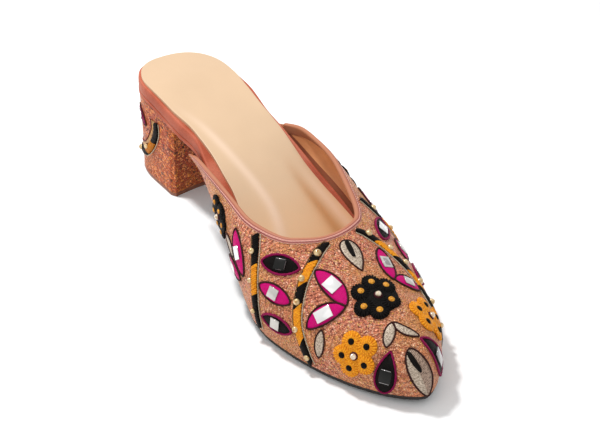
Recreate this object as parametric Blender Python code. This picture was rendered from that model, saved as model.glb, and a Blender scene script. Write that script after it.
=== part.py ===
"""Backless block-heeled mule for the left foot: sole, heel, wrapped bed, vamp and binding.

X runs from heel to toe, Y to the outer side of the foot, Z up, with the floor at zero.
Sizes are in millimetres and are scaled to metres when each mesh is made.
"""

import bpy
import bmesh
import numpy as np

MM = 0.001

SHOE_LENGTH = 251.0
FRAME_X = 125.5
FRAME_Y = -1.48
GAP = 0.3

HEEL_ROUND = 27.0
HEEL_ROUND_POWER = 2.4
BALL_X = 165.5
TOE_POWER = 1.7
TOE_SHARPNESS = 0.65
NOSE_X = 195.0
NOSE_POWER = 4.0
NOSE_SHARPNESS = 0.25

FLAT_END = 195.0
TOE_SPRING = 2.5
TOE_SPRING_POWER = 1.8

SOCK_THICK = 2.0
BOARD_THICK_HEEL = 8.0
BOARD_THICK_FORE = 2.5
OUTSOLE_THICK_WAIST = 2.2
OUTSOLE_THICK_FORE = 3.0
WALL = 1.8

BREAST_X = 49.0
HEEL_TIP_THICK = 2.0
HEEL_SQUEEZE = 0.03
HEEL_RAKE = 2.5
HEEL_LEAN = 1.0
BREAST_HOLLOW = 2.2
BREAST_STEPS = 8

BINDING_WIDTH = 2.2
BINDING_THICK = 0.6
WING_CLEAR = WALL + 2 * GAP + BINDING_THICK

UPPER_COLUMNS = 44
UPPER_ROWS = 34

BED_LOW = SOCK_THICK + BOARD_THICK_FORE + OUTSOLE_THICK_FORE + 2 * GAP
BED = {
    "x": (0.0, 24.0, 41.5, 55.5, 67.5, 81.5, 91.5, 103.5, 115.5, 127.5, 139.5, 151.5, 161.5, 169.5, 176.0),
    "height": (56.5, 56.5, 55.0, 53.0, 51.0, 47.5, 44.5, 40.0, 34.5, 28.5, 22.5, 16.5, 12.0, 9.5, BED_LOW),
}
EDGE = {
    "x": (0.0, 26.0, 57.0, 80.0, 104.0, 128.0, 150.0, 165.5),
    "centre": (0.0, 1.0, 2.5, 2.5, 1.0, 0.0, -1.5, -2.0),
    "inner": (25.0, 25.5, 26.0, 27.0, 30.0, 34.0, 38.0, 40.0),
    "outer": (25.0, 25.5, 26.0, 27.0, 29.5, 35.0, 39.5, 42.0),
}
BED_INSET = {
    "x": (0.0, 43.0, 57.0, 68.0, 82.0, 92.0, 105.0, 116.0, 130.0, 145.0, 160.0),
    "inner": (1.5, 1.5, 2.5, 4.5, 6.0, 7.0, 7.5, 7.0, 5.5, 4.0, 3.0),
    "outer": (1.5, 1.5, 2.0, 3.0, 4.5, 5.5, 6.0, 6.0, 5.0, 4.0, 3.0),
}
LAST = {
    "x": (60.0, 83.0, 104.0, 127.0, 142.0, 157.0, 173.0, 197.0, 222.0, 237.0, 251.0),
    "ridge": (82.0, 79.5, 74.5, 67.5, 61.5, 55.0, 49.0, 41.5, 36.0, 33.5, 31.5),
    "lean": (-1.5, -3.0, -4.5, -5.5, -6.0, -5.0, -4.0, -2.5, -1.5, -0.5, 0.0),
    "inner_bulge": (1.0, 2.5, 2.5, 2.0, 1.5, 1.5, 1.5, 1.0, 1.0, 0.5, 0.0),
    "outer_bulge": (0.0, 2.5, 3.5, 4.0, 4.0, 3.0, 2.5, 2.0, 1.5, 1.0, 0.0),
    "inner_power": (2.5, 2.6, 2.6, 2.7, 2.7, 2.6, 2.5, 2.3, 2.2, 2.2, 2.2),
    "outer_power": (2.6, 2.5, 2.5, 2.5, 2.5, 2.5, 2.4, 2.2, 2.1, 2.0, 2.0),
}
TOPLINE = {
    "angle": (0.0, 6.0, 21.0, 36.0, 50.0, 70.0, 90.0, 110.0, 130.0, 144.0, 159.0, 174.0, 180.0),
    "x": (71.0, 82.5, 107.0, 131.5, 151.0, 169.0, 175.0, 170.0, 148.5, 126.0, 103.0, 79.5, 68.5),
}


def smooth(x, table, column):
    """Monotone cubic through one column of a table."""
    xs = np.asarray(table["x"], float)
    ys = np.asarray(table[column], float)
    return monotone(x, xs, ys)


def monotone(x, xs, ys):
    """Monotone cubic through the points xs, ys, held flat beyond its ends."""
    step = np.diff(xs)
    slope = np.diff(ys) / step
    tangent = np.zeros(len(xs))
    product = slope[:-1] * slope[1:]
    same = product > 0
    weight_a = 2 * step[1:] + step[:-1]
    weight_b = step[1:] + 2 * step[:-1]
    safe_a = np.where(same, slope[:-1], 1.0)
    safe_b = np.where(same, slope[1:], 1.0)
    mean = (weight_a + weight_b) / (weight_a / safe_a + weight_b / safe_b)
    tangent[1:-1] = np.where(same, mean, 0.0)
    tangent[0] = slope[0]
    tangent[-1] = slope[-1]
    x = np.clip(np.asarray(x, float), xs[0], xs[-1])
    i = np.clip(np.searchsorted(xs, x) - 1, 0, len(xs) - 2)
    t = (x - xs[i]) / step[i]
    h00 = (1 + 2 * t) * (1 - t) ** 2
    h10 = t * (1 - t) ** 2
    h01 = t * t * (3 - 2 * t)
    h11 = t * t * (t - 1)
    return h00 * ys[i] + h10 * step[i] * tangent[i] + h01 * ys[i + 1] + h11 * step[i] * tangent[i + 1]


def ease(x, start, end):
    """Smooth step from 0 at start to 1 at end."""
    t = np.clip((np.asarray(x, float) - start) / (end - start), 0, 1)
    return t * t * (3 - 2 * t)


def bed_height(x):
    """Top of the padded sock along the shoe."""
    spring = np.clip((np.asarray(x, float) - FLAT_END) / (SHOE_LENGTH - FLAT_END), 0, 1.05)
    return smooth(x, BED, "height") + TOE_SPRING * spring ** TOE_SPRING_POWER


def board_thickness(x):
    """Thickness of the wrapped board, deep under the heel and thin in the forepart."""
    return BOARD_THICK_HEEL + (BOARD_THICK_FORE - BOARD_THICK_HEEL) * ease(x, 62, 118)


def outsole_thickness(x):
    """Thickness of the outsole, thinner in the waist."""
    return OUTSOLE_THICK_WAIST + (OUTSOLE_THICK_FORE - OUTSOLE_THICK_WAIST) * ease(x, 110, 160)


def board_top(x):
    return bed_height(x) - SOCK_THICK - GAP


def board_bottom(x):
    return board_top(x) - board_thickness(x)


def outsole_top(x):
    return board_bottom(x) - GAP


def end_closure(x):
    """Share of the full width left at x, rounding the heel and pointing the toe."""
    x = np.clip(np.asarray(x, float), 0, SHOE_LENGTH)
    back = np.clip((HEEL_ROUND - x) / HEEL_ROUND, 0, 1)
    front = np.clip((x - BALL_X) / (SHOE_LENGTH - BALL_X), 0, 1)
    heel = (1 - back ** HEEL_ROUND_POWER) ** (1 / HEEL_ROUND_POWER)
    toe = (1 - front ** TOE_POWER) ** TOE_SHARPNESS
    return heel * toe


def half_width(x, side):
    """Half width of the shoe's bottom edge, side -1 inner or +1 outer."""
    inner = smooth(x, EDGE, "inner")
    outer = smooth(x, EDGE, "outer")
    return np.where(np.asarray(side) < 0, inner, outer) * end_closure(x)


def centre_line(x):
    return smooth(x, EDGE, "centre")


def edge_normal(x, side):
    """Outward plan normal of the bottom edge, as its x part and its sideways part."""
    h = 0.02
    low = np.clip(x - h, 0, SHOE_LENGTH)
    high = np.clip(x + h, 0, SHOE_LENGTH)
    rise = (half_width(high, side) - half_width(low, side)) / (high - low)
    rise = rise + side * (centre_line(high) - centre_line(low)) / (high - low)
    length = np.sqrt(1 + rise * rise)
    nx = -rise / length
    ny = 1 / length
    end = half_width(x, side) < 1e-4
    nx = np.where(end, np.where(x > SHOE_LENGTH / 2, 1.0, -1.0), nx)
    ny = np.where(end, 0.0, ny)
    return nx, ny


def ridge_height(x):
    """Height of the last's ridge above the upper's bottom edge."""
    v = np.clip((np.asarray(x, float) - NOSE_X) / (SHOE_LENGTH - NOSE_X), 0, 1)
    nose = (1 - v ** NOSE_POWER) ** NOSE_SHARPNESS
    return (smooth(x, LAST, "ridge") - board_bottom(x)) * nose


def ridge_normal(x):
    """Outward normal of the ridge profile, as its x part and its upward part."""
    h = 0.02
    low = np.clip(x - h, 0, SHOE_LENGTH)
    high = np.clip(x + h, 0, SHOE_LENGTH)
    top = ridge_height(high) + board_bottom(high) - ridge_height(low) - board_bottom(low)
    slope = top / (high - low)
    length = np.sqrt(1 + slope * slope)
    return -slope / length, 1 / length


def vamp_point(x, angle, inset):
    """Point on the last's surface at station x, turning from the inner edge over the ridge.

    The angle is 0 at the inner edge, 90 degrees on the ridge and 180 at the outer edge.
    The inset moves the point inwards along the surface normal.
    """
    x = np.asarray(x, float)
    angle = np.asarray(angle, float)
    side = np.where(angle > 90.0, 1.0, -1.0)
    turn = np.radians(np.minimum(angle, 180.0 - angle))
    power = np.where(side < 0, smooth(x, LAST, "inner_power"), smooth(x, LAST, "outer_power"))
    fullness = np.where(side < 0, smooth(x, LAST, "inner_bulge"), smooth(x, LAST, "outer_bulge"))
    out = np.clip(np.cos(turn), 0, 1) ** (2 / power)
    up = np.clip(np.sin(turn), 0, 1) ** (2 / power)
    nx, ny = edge_normal(x, side)
    rx, rz = ridge_normal(x)
    bulge = fullness * 6.75 * up * (1 - up) ** 2
    lean = smooth(x, LAST, "lean") * up * end_closure(x)
    wide = (half_width(x, side) - inset * ny) * out + bulge
    tall = (ridge_height(x) - inset * rz) * up
    px = x - inset * (nx * out ** 2 + rx * up ** 2)
    py = centre_line(x) + side * wide + lean
    pz = board_bottom(x) + tall
    return np.stack([px, py, pz], axis=-1)


def topline_x(angle):
    """Station at which the vamp's topline crosses each section angle."""
    return monotone(angle, np.asarray(TOPLINE["angle"], float), np.asarray(TOPLINE["x"], float))


def make_material(name, colour, roughness, metallic=0.0):
    """One plain material for a sub-part."""
    material = bpy.data.materials.new(name)
    material.use_nodes = True
    shader = material.node_tree.nodes["Principled BSDF"]
    shader.inputs["Base Color"].default_value = (*colour, 1.0)
    shader.inputs["Roughness"].default_value = roughness
    shader.inputs["Metallic"].default_value = metallic
    material.diffuse_color = (*colour, 1.0)
    return material


def make_solid(name, points, faces, material, sharp=35.0):
    """A closed, welded mesh object facing outwards, in metres in the shoe's frame."""
    mesh = bpy.data.meshes.new(name)
    moved = (np.asarray(points, float) - np.array([FRAME_X, FRAME_Y, 0.0])) * MM
    mesh.from_pydata([tuple(p) for p in moved], [], faces)
    work = bmesh.new()
    work.from_mesh(mesh)
    bmesh.ops.remove_doubles(work, verts=work.verts, dist=0.00002)
    bmesh.ops.triangulate(work, faces=[f for f in work.faces if len(f.verts) > 4])
    bmesh.ops.recalc_face_normals(work, faces=work.faces)
    work.to_mesh(mesh)
    work.free()
    mesh.shade_smooth()
    mesh.set_sharp_from_angle(angle=np.radians(sharp))
    mesh.materials.append(material)
    thing = bpy.data.objects.new(name, mesh)
    bpy.context.scene.collection.objects.link(thing)
    return thing


def loft(sections, cap_start=False, cap_end=False):
    """Join closed sections of equal length into one skin, capped where asked."""
    count = len(sections[0])
    points = [tuple(p) for section in sections for p in section]
    faces = []
    for i in range(len(sections) - 1):
        for j in range(count):
            k = (j + 1) % count
            faces.append((i * count + j, i * count + k, (i + 1) * count + k, (i + 1) * count + j))
    if cap_start:
        faces.append(tuple(range(count)))
    if cap_end:
        last = (len(sections) - 1) * count
        faces.append(tuple(last + j for j in range(count)))
    return points, faces


def stations(start, end, count, round_start, round_end):
    """Stations along the shoe, closer together at the rounded ends."""
    t = np.linspace(0, 1, count)
    if round_end:
        t = 1 - (1 - t) ** 1.6
    if round_start:
        t = t ** 1.5
    return start + (end - start) * t


def edge_point(x, side, offset):
    """Plan position on the bottom edge moved outwards by the offset."""
    nx, ny = edge_normal(x, side)
    return x + nx * offset, centre_line(x) + side * (half_width(x, side) + ny * offset)


def sock_edge(x, side):
    """Offset of the sock's edge from the shoe's bottom edge."""
    return -float(smooth(x, BED_INSET, "inner" if side < 0 else "outer"))


def layer_section(x, rings, across):
    """Closed section of a sole layer at x; rings run from the top edge to the bottom edge.

    Each ring gives its offset from the shoe's bottom edge at a station and side, and its height.
    """
    inner = []
    outer = []
    for offset, height in rings:
        for side, store in ((-1.0, inner), (1.0, outer)):
            px, py = edge_point(x, side, offset(x, side))
            store.append((float(px), float(py), float(height(px))))
    top = [blend(inner[0], outer[0], k / across) for k in range(1, across)]
    bottom = [blend(outer[-1], inner[-1], k / across) for k in range(1, across)]
    return [inner[0]] + top + outer + bottom + inner[:0:-1]


def blend(a, b, t):
    return tuple((1 - t) * p + t * q for p, q in zip(a, b))


def make_outsole(material):
    """Thin outsole from the heel breast to the toe, flat on the floor under the ball."""
    def edge(x, side):
        return float(-2.6 + 2.3 * ease(x, 60, 95))

    def low_edge(x, side):
        return edge(x, side) - 0.2

    def tucked(x, side):
        return edge(x, side) - 1.7

    def depth(share):
        return lambda x: outsole_top(x) - share * outsole_thickness(x)

    rings = [(edge, depth(0.0)), (low_edge, depth(0.45)), (tucked, depth(1.0))]
    xs = stations(BREAST_X + GAP, SHOE_LENGTH, 40, False, True)
    sections = [layer_section(x, rings, 4) for x in xs]
    points, faces = loft(sections, cap_start=True)
    return make_solid("outsole", points, faces, material)


def make_board(material):
    """Leather-wrapped board: two stacked bands with a crease between them, thin inside the vamp."""
    def lower_band(x, side):
        open_edge = sock_edge(x, side) + 1.5 - 0.7 * float(ease(x, 120, 150))
        return min(open_edge, -WING_CLEAR * float(ease(x, 56, 70)) * (1 - float(ease(x, 120, 150))))

    def step(depth_behind, x, side):
        return lower_band(x, side) - depth_behind * (1 - 0.7 * float(ease(x, 120, 150)))

    def upper_band(x, side):
        return step(0.3, x, side)

    def crease(x, side):
        return step(1.1, x, side)

    def edge_turn(x, side):
        return step(0.8, x, side)

    def depth(share):
        return lambda x: board_top(x) - share * board_thickness(x)

    rings = [
        (edge_turn, depth(0.0)),
        (upper_band, depth(0.08)),
        (upper_band, depth(0.38)),
        (crease, depth(0.46)),
        (lower_band, depth(0.54)),
        (lower_band, depth(0.92)),
        (edge_turn, depth(1.0)),
    ]
    xs = stations(0, SHOE_LENGTH, 46, True, True)
    sections = [layer_section(x, rings, 2) for x in xs]
    points, faces = loft(sections)
    return make_solid("insole_board", points, faces, material)


def make_sock(material):
    """Padded sock over the whole bed, its edge just inside the wrapped band and the vamp."""
    def rounded(x, side):
        return sock_edge(x, side) - 0.6

    def depth(share):
        return lambda x: bed_height(x) - share * SOCK_THICK

    rings = [(rounded, depth(0.0)), (sock_edge, depth(0.35)), (sock_edge, depth(1.0))]
    xs = stations(0, SHOE_LENGTH, 46, True, True)
    sections = [layer_section(x, rings, 2) for x in xs]
    points, faces = loft(sections)
    return make_solid("insole_sock", points, faces, material)


def column_angles():
    """Section angles of the upper's columns, closer together at the wings' ends."""
    t = np.linspace(-1, 1, UPPER_COLUMNS + 1)
    eased = np.sign(t) * (1 - (1 - np.abs(t)) ** 1.35)
    return 90 + 90 * eased


def upper_rows():
    """Rows of the upper from its topline at 0 to the toe tip at 1."""
    t = np.linspace(0, 1, UPPER_ROWS + 1)
    return 1 - (1 - t) ** 1.7


def upper_grid(inset):
    """Points of one skin of the upper, without the toe tip."""
    angles = column_angles()
    rows = []
    for share in upper_rows()[:-1]:
        x = topline_x(angles) + (SHOE_LENGTH - topline_x(angles)) * share
        rows.append(vamp_point(x, angles, inset))
    return rows


def make_upper(material):
    """The vamp: a hollow shell open at the foot, the back and underneath."""
    columns = UPPER_COLUMNS + 1
    points = []
    starts = []
    tips = []
    for inset in (0.0, WALL):
        starts.append(len(points))
        for row in upper_grid(inset):
            points.extend(tuple(p) for p in row)
        tips.append(len(points))
        nose_y, nose_z = float(centre_line(SHOE_LENGTH)), float(board_bottom(SHOE_LENGTH))
        points.append((SHOE_LENGTH - inset, nose_y, nose_z))
    faces = []
    for start, tip in zip(starts, tips):
        for i in range(UPPER_ROWS - 1):
            for j in range(UPPER_COLUMNS):
                a = start + i * columns + j
                faces.append((a, a + 1, a + columns + 1, a + columns))
        end = start + (UPPER_ROWS - 1) * columns
        faces.extend((end + j, end + j + 1, tip) for j in range(UPPER_COLUMNS))
    outer, inner = starts
    for j in range(UPPER_COLUMNS):
        faces.append((outer + j, outer + j + 1, inner + j + 1, inner + j))
    for j in (0, UPPER_COLUMNS):
        edge = [i * columns + j for i in range(UPPER_ROWS)]
        for a, b in zip(edge[:-1], edge[1:]):
            faces.append((outer + a, outer + b, inner + b, inner + a))
        faces.append((outer + edge[-1], tips[0], tips[1], inner + edge[-1]))
    return make_solid("upper", points, faces, material)


def binding_profile(angle):
    """Folded strip as distance below the topline and depth from the vamp's outer face.

    Its inner leg fades out at the wings' ends, where the board lies close by.
    """
    near = GAP
    far = GAP + BINDING_THICK
    leg = -0.1 + (BINDING_WIDTH + 0.1) * float(ease(min(angle, 180 - angle), 3, 12))
    return [
        (BINDING_WIDTH, -near),
        (BINDING_WIDTH, -far),
        (-0.2, -far),
        (-far, -0.3),
        (-far, WALL + 0.3),
        (-0.2, WALL + far),
        (leg, WALL + far),
        (leg, WALL + near),
        (-near, WALL + near),
        (-near, -near),
    ]


def binding_section(angle):
    """Section of the binding at one place on the topline, laid on the vamp's own surface."""
    x = float(topline_x(angle))
    before = vamp_point(topline_x(max(angle - 0.3, 0.0)), max(angle - 0.3, 0.0), 0.0)
    after = vamp_point(topline_x(min(angle + 0.3, 180.0)), min(angle + 0.3, 180.0), 0.0)
    along = (after - before) / np.linalg.norm(after - before)
    step_x = (vamp_point(x + 0.2, angle, 0.0) - vamp_point(x - 0.2, angle, 0.0)) / 0.4
    low = max(angle - 0.2, 0.0)
    high = min(angle + 0.2, 180.0)
    step_angle = (vamp_point(x, high, 0.0) - vamp_point(x, low, 0.0)) / (high - low)
    down = step_x - along * float(step_x @ along)
    down = down / np.linalg.norm(down)
    frame = np.stack([step_x, step_angle], axis=1)
    move = np.linalg.lstsq(frame, down, rcond=None)[0]
    points = []
    for distance, inset in binding_profile(angle):
        px = x + move[0] * distance
        turned = angle + move[1] * distance
        points.append(vamp_point(px, np.clip(turned, 0.0, 180.0), inset))
    return points


def make_binding(material):
    """Folded leather binding hugging both faces of the vamp along its topline."""
    t = np.linspace(-1, 1, 61)
    angles = 90 + 87.5 * np.sign(t) * (1 - (1 - np.abs(t)) ** 1.25)
    sections = [binding_section(float(a)) for a in angles]
    points, faces = loft(sections, cap_start=True, cap_end=True)
    return make_solid("topline_binding", points, faces, material, sharp=50.0)


def heel_outline(count, inset, squeeze, back_x, front_x):
    """D-shaped plan of the heel: the shoe's own back edge and a slightly hollow breast."""
    xs = stations(back_x, front_x, count, True, False)
    span = (xs - back_x) / (front_x - back_x) * BREAST_X
    inner = [heel_side(x, s, -1.0, inset, squeeze) for x, s in zip(xs, span)]
    outer = [heel_side(x, s, 1.0, inset, squeeze) for x, s in zip(xs, span)]
    breast = []
    for k in range(1, BREAST_STEPS):
        t = k / BREAST_STEPS
        x, y = blend(outer[-1], inner[-1], t)
        breast.append((x - BREAST_HOLLOW * 4 * t * (1 - t), y))
    return inner[::-1] + outer[1:] + breast


def heel_side(x, along, side, inset, squeeze):
    """One plan point of the heel's side, narrowed towards the floor by the squeeze."""
    wide = float(half_width(along, side)) * (1 - squeeze) - inset * float(end_closure(along))
    return x, float(centre_line(along)) + side * wide


def make_heel(material):
    """Covered block heel, slightly narrower at the floor, its top following the board."""
    levels = 9
    loops = []
    for i in range(levels):
        t = i / (levels - 1)
        flare = (1 - t) ** 1.6
        low = 1 - flare
        loop = heel_outline(15, 1.2, HEEL_SQUEEZE * low, 1.4 + HEEL_RAKE * low, BREAST_X + HEEL_LEAN * low)
        ring = []
        for x, y in loop:
            top = float(board_bottom(x)) - GAP
            floor = HEEL_TIP_THICK + GAP
            ring.append((x, y, top + (floor - top) * t))
        loops.append(ring)
    points, faces = loft(loops, cap_end=True)
    half = 14
    for j in range(half):
        a = half - j
        b = half + j
        faces.append((a, a - 1, b + 1, b) if j else (a, a - 1, b + 1))
    faces.append((0, *range(2 * half, 2 * half + BREAST_STEPS)))
    return make_solid("heel_block", points, faces, material)


def make_heel_tip(material):
    """Thin wearing lift under the heel, flat on the floor."""
    loops = []
    for inset, z in ((1.5, HEEL_TIP_THICK), (1.4, 0.4), (1.8, 0.0)):
        loop = heel_outline(15, inset, HEEL_SQUEEZE, 1.5 + HEEL_RAKE, BREAST_X + HEEL_LEAN - 0.1)
        loops.append([(x, y, z) for x, y in loop])
    points, faces = loft(loops, cap_start=True, cap_end=True)
    return make_solid("heel_tip", points, faces, material)


def build():
    """Clear the scene and make every sub-part."""
    for thing in list(bpy.data.objects):
        bpy.data.objects.remove(thing, do_unlink=True)
    make_outsole(make_material("outsole_dark", (0.03, 0.025, 0.022), 0.6))
    make_board(make_material("rose_leather_wrap", (0.55, 0.22, 0.17), 0.35))
    make_sock(make_material("cream_sock", (0.80, 0.62, 0.42), 0.45))
    make_upper(make_material("copper_embroidered_fabric", (0.55, 0.27, 0.18), 0.5))
    make_binding(make_material("rose_leather_binding", (0.62, 0.28, 0.24), 0.3))
    make_heel(make_material("copper_heel_cover", (0.42, 0.17, 0.09), 0.45))
    make_heel_tip(make_material("heel_tip_rubber", (0.12, 0.06, 0.04), 0.6))


build()
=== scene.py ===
"""Looks of the embroidered block-heeled mule: vamp, binding, padded sock, board, sole and heel.

Lengths are millimetres in the shoe's own frame (X from the heel's back, Y to the outer side, Z up
from the floor) until a mesh is made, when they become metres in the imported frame.
"""

import math
import bpy
import numpy as np
from mathutils import Matrix, Vector
from mathutils.bvhtree import BVHTree


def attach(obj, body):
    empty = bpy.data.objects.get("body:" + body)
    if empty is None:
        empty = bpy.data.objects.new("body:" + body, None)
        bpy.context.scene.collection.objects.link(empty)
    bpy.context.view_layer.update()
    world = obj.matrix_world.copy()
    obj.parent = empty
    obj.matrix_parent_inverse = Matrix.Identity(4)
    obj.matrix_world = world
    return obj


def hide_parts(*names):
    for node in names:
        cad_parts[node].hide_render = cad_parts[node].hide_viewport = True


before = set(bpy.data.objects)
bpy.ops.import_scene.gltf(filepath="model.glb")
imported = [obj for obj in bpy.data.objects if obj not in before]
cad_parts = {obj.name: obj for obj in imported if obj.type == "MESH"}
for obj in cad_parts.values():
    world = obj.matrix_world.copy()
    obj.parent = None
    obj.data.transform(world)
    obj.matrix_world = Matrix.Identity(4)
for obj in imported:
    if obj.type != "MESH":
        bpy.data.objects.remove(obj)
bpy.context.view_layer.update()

MM = 0.001
NUDGE = 0.02
SHOE_LENGTH = 251.0
FRAME_X = 125.5
FRAME_Y = -1.48
GAP = 0.3
HEEL_ROUND, HEEL_ROUND_POWER = 27.0, 2.4
BALL_X, TOE_POWER, TOE_SHARPNESS = 165.5, 1.7, 0.65
NOSE_X, NOSE_POWER, NOSE_SHARPNESS = 195.0, 4.0, 0.25
FLAT_END, TOE_SPRING, TOE_SPRING_POWER = 195.0, 2.5, 1.8
SOCK_THICK = 2.0
BOARD_THICK_HEEL, BOARD_THICK_FORE = 8.0, 2.5
OUTSOLE_THICK_WAIST, OUTSOLE_THICK_FORE = 2.2, 3.0
WALL = 1.2
BREAST_X, BREAST_HOLLOW = 49.0, 2.2
HEEL_TIP_THICK, HEEL_SQUEEZE, HEEL_RAKE, HEEL_LEAN = 2.0, 0.03, 2.5, 1.0
WING_CLEAR = 3.0
LEATHER = 0.5
FULLNESS_PEAK = 6.75
VAMP_COLUMNS, VAMP_ROWS = 133, 96
# lining faces this close to either lower edge, past this station, take the lining with painted shade
SHADE_BAND_ANGLE, SHADE_BAND_START = 3.4, 70
BINDING_SECTIONS, BINDING_END = 221, 5.0
SOCK_SECTIONS, SOLE_SECTIONS = 150, 130
HEEL_LEVELS, HEEL_COLUMNS, BREAST_STEPS = 26, 44, 16

BED_LOW = SOCK_THICK + BOARD_THICK_FORE + OUTSOLE_THICK_FORE + 2 * GAP
BED = {
    "x": (0.0, 24.0, 41.5, 55.5, 67.5, 81.5, 91.5, 103.5, 115.5, 127.5, 139.5, 151.5, 161.5, 169.5, 176.0),
    "height": (56.5, 56.5, 55.0, 53.0, 51.0, 47.5, 44.5, 40.0, 34.5, 28.5, 22.5, 16.5, 12.0, 9.5, BED_LOW),
}
EDGE = {
    "x": (0.0, 26.0, 57.0, 80.0, 104.0, 128.0, 150.0, 165.5),
    "centre": (0.0, 1.0, 2.5, 2.5, 1.0, 0.0, -1.5, -2.0),
    "inner": (25.0, 25.5, 26.0, 27.0, 30.0, 34.0, 38.0, 40.0),
    "outer": (25.0, 25.5, 26.0, 27.0, 29.5, 35.0, 39.5, 42.0),
}
BED_INSET = {
    "x": (0.0, 43.0, 57.0, 68.0, 82.0, 92.0, 105.0, 116.0, 130.0, 145.0, 160.0),
    "inner": (1.5, 1.5, 2.5, 4.5, 6.0, 7.0, 7.5, 7.0, 5.5, 4.0, 3.0),
    "outer": (1.5, 1.5, 2.0, 3.0, 4.5, 5.5, 6.0, 6.0, 5.0, 4.0, 3.0),
}
VALLEY = 0.66
# stations and across-shares of the sock's inner sheen streak, a painted highlight; the bed's soft ridge
# follows the same line
SHEEN_LINE = ((40.0, 56.0, 82.0, 102.0, 120.0, 140.0, 170.0), (-0.86, -0.79, -0.62, -0.42, -0.31, -0.36, -0.45))
SOCK_INSET = {
    "x": (0.0, 12.0, 32.0, 47.0, 64.0, 82.0, 94.0, 106.0, 117.0, 131.0, 146.0, 160.0),
    "inner": (1.5, 2.5, 2.5, 2.5, 5.0, 6.5, 8.0, 10.0, 10.5, 9.0, 6.0, 4.0),
    "outer": (1.5, 1.5, 1.5, 3.0, 4.5, 5.0, 5.5, 6.0, 6.0, 5.0, 3.5, 3.0),
}
LAST = {
    "x": (60.0, 83.0, 104.0, 127.0, 142.0, 157.0, 173.0, 197.0, 222.0, 237.0, 251.0),
    "ridge": (82.0, 79.5, 74.5, 67.5, 61.5, 55.0, 49.0, 41.5, 36.0, 33.5, 31.5),
    "lean": (-1.5, -3.0, -4.5, -5.5, -6.0, -5.0, -4.0, -2.5, -1.5, -0.5, 0.0),
    "inner_bulge": (1.0, 2.5, 2.5, 2.0, 1.5, 1.5, 1.5, 1.0, 1.0, 0.5, 0.0),
    "outer_bulge": (0.0, 2.5, 3.5, 4.0, 4.0, 3.0, 2.5, 2.0, 1.5, 1.0, 0.0),
    "inner_power": (2.5, 2.6, 2.6, 2.7, 2.7, 2.6, 2.5, 2.3, 2.2, 2.2, 2.2),
    "outer_power": (2.6, 2.5, 2.5, 2.5, 2.5, 2.5, 2.4, 2.2, 2.1, 2.0, 2.0),
}
TOPLINE = {
    "angle": (0.0, 6.0, 21.0, 36.0, 50.0, 70.0, 90.0, 110.0, 130.0, 144.0, 159.0, 174.0, 180.0),
    "x": (71.0, 82.5, 107.0, 131.5, 151.0, 169.0, 175.0, 170.0, 148.5, 126.0, 103.0, 79.5, 68.5),
}


def monotone(x, xs, ys):
    """Monotone cubic through the points xs, ys, held flat beyond its ends."""
    xs, ys = np.asarray(xs, float), np.asarray(ys, float)
    step = np.diff(xs)
    slope = np.diff(ys) / step
    tangent = np.zeros(len(xs))
    same = slope[:-1] * slope[1:] > 0
    weight_a = 2 * step[1:] + step[:-1]
    weight_b = step[1:] + 2 * step[:-1]
    safe_a = np.where(same, slope[:-1], 1.0)
    safe_b = np.where(same, slope[1:], 1.0)
    mean = (weight_a + weight_b) / (weight_a / safe_a + weight_b / safe_b)
    tangent[1:-1] = np.where(same, mean, 0.0)
    tangent[0], tangent[-1] = slope[0], slope[-1]
    x = np.clip(np.asarray(x, float), xs[0], xs[-1])
    i = np.clip(np.searchsorted(xs, x) - 1, 0, len(xs) - 2)
    t = (x - xs[i]) / step[i]
    h00 = (1 + 2 * t) * (1 - t) ** 2
    h10 = t * (1 - t) ** 2
    h01 = t * t * (3 - 2 * t)
    h11 = t * t * (t - 1)
    return h00 * ys[i] + h10 * step[i] * tangent[i] + h01 * ys[i + 1] + h11 * step[i] * tangent[i + 1]


def smooth(x, table, column):
    return monotone(x, table["x"], table[column])


def sided(x, side, table, kind=""):
    """A table's column for the inner side where side is negative, else for the outer side."""
    return np.where(np.asarray(side) < 0, smooth(x, table, "inner" + kind), smooth(x, table, "outer" + kind))


def ease(x, start, end):
    """Smooth step from 0 at start to 1 at end."""
    t = np.clip((np.asarray(x, float) - start) / (end - start), 0, 1)
    return t * t * (3 - 2 * t)


def bed_height(x):
    spring = np.clip((np.asarray(x, float) - FLAT_END) / (SHOE_LENGTH - FLAT_END), 0, 1.05)
    return smooth(x, BED, "height") + TOE_SPRING * spring ** TOE_SPRING_POWER


def board_thickness(x):
    return BOARD_THICK_HEEL + (BOARD_THICK_FORE - BOARD_THICK_HEEL) * ease(x, 62, 118)


def outsole_thickness(x):
    return OUTSOLE_THICK_WAIST + (OUTSOLE_THICK_FORE - OUTSOLE_THICK_WAIST) * ease(x, 110, 160)


def board_top(x):
    return bed_height(x) - SOCK_THICK - GAP


def board_bottom(x):
    return board_top(x) - board_thickness(x)


def outsole_top(x):
    return board_bottom(x) - GAP


def end_closure(x):
    """Share of the full width left at x, rounding the heel and pointing the toe."""
    x = np.clip(np.asarray(x, float), 0, SHOE_LENGTH)
    back = np.clip((HEEL_ROUND - x) / HEEL_ROUND, 0, 1)
    front = np.clip((x - BALL_X) / (SHOE_LENGTH - BALL_X), 0, 1)
    heel = (1 - back ** HEEL_ROUND_POWER) ** (1 / HEEL_ROUND_POWER)
    return heel * (1 - front ** TOE_POWER) ** TOE_SHARPNESS


def half_width(x, side):
    return sided(x, side, EDGE) * end_closure(x)


def centre_line(x):
    return smooth(x, EDGE, "centre")


def edge_normal(x, side):
    """Outward plan normal of the bottom edge, as its x part and its sideways part."""
    low, high = np.clip(x - NUDGE, 0, SHOE_LENGTH), np.clip(x + NUDGE, 0, SHOE_LENGTH)
    rise = (half_width(high, side) - half_width(low, side)) / (high - low)
    rise = rise + side * (centre_line(high) - centre_line(low)) / (high - low)
    length = np.sqrt(1 + rise * rise)
    end = half_width(x, side) < 1e-4
    nx = np.where(end, np.where(x > SHOE_LENGTH / 2, 1.0, -1.0), -rise / length)
    return nx, np.where(end, 0.0, 1 / length)


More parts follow.
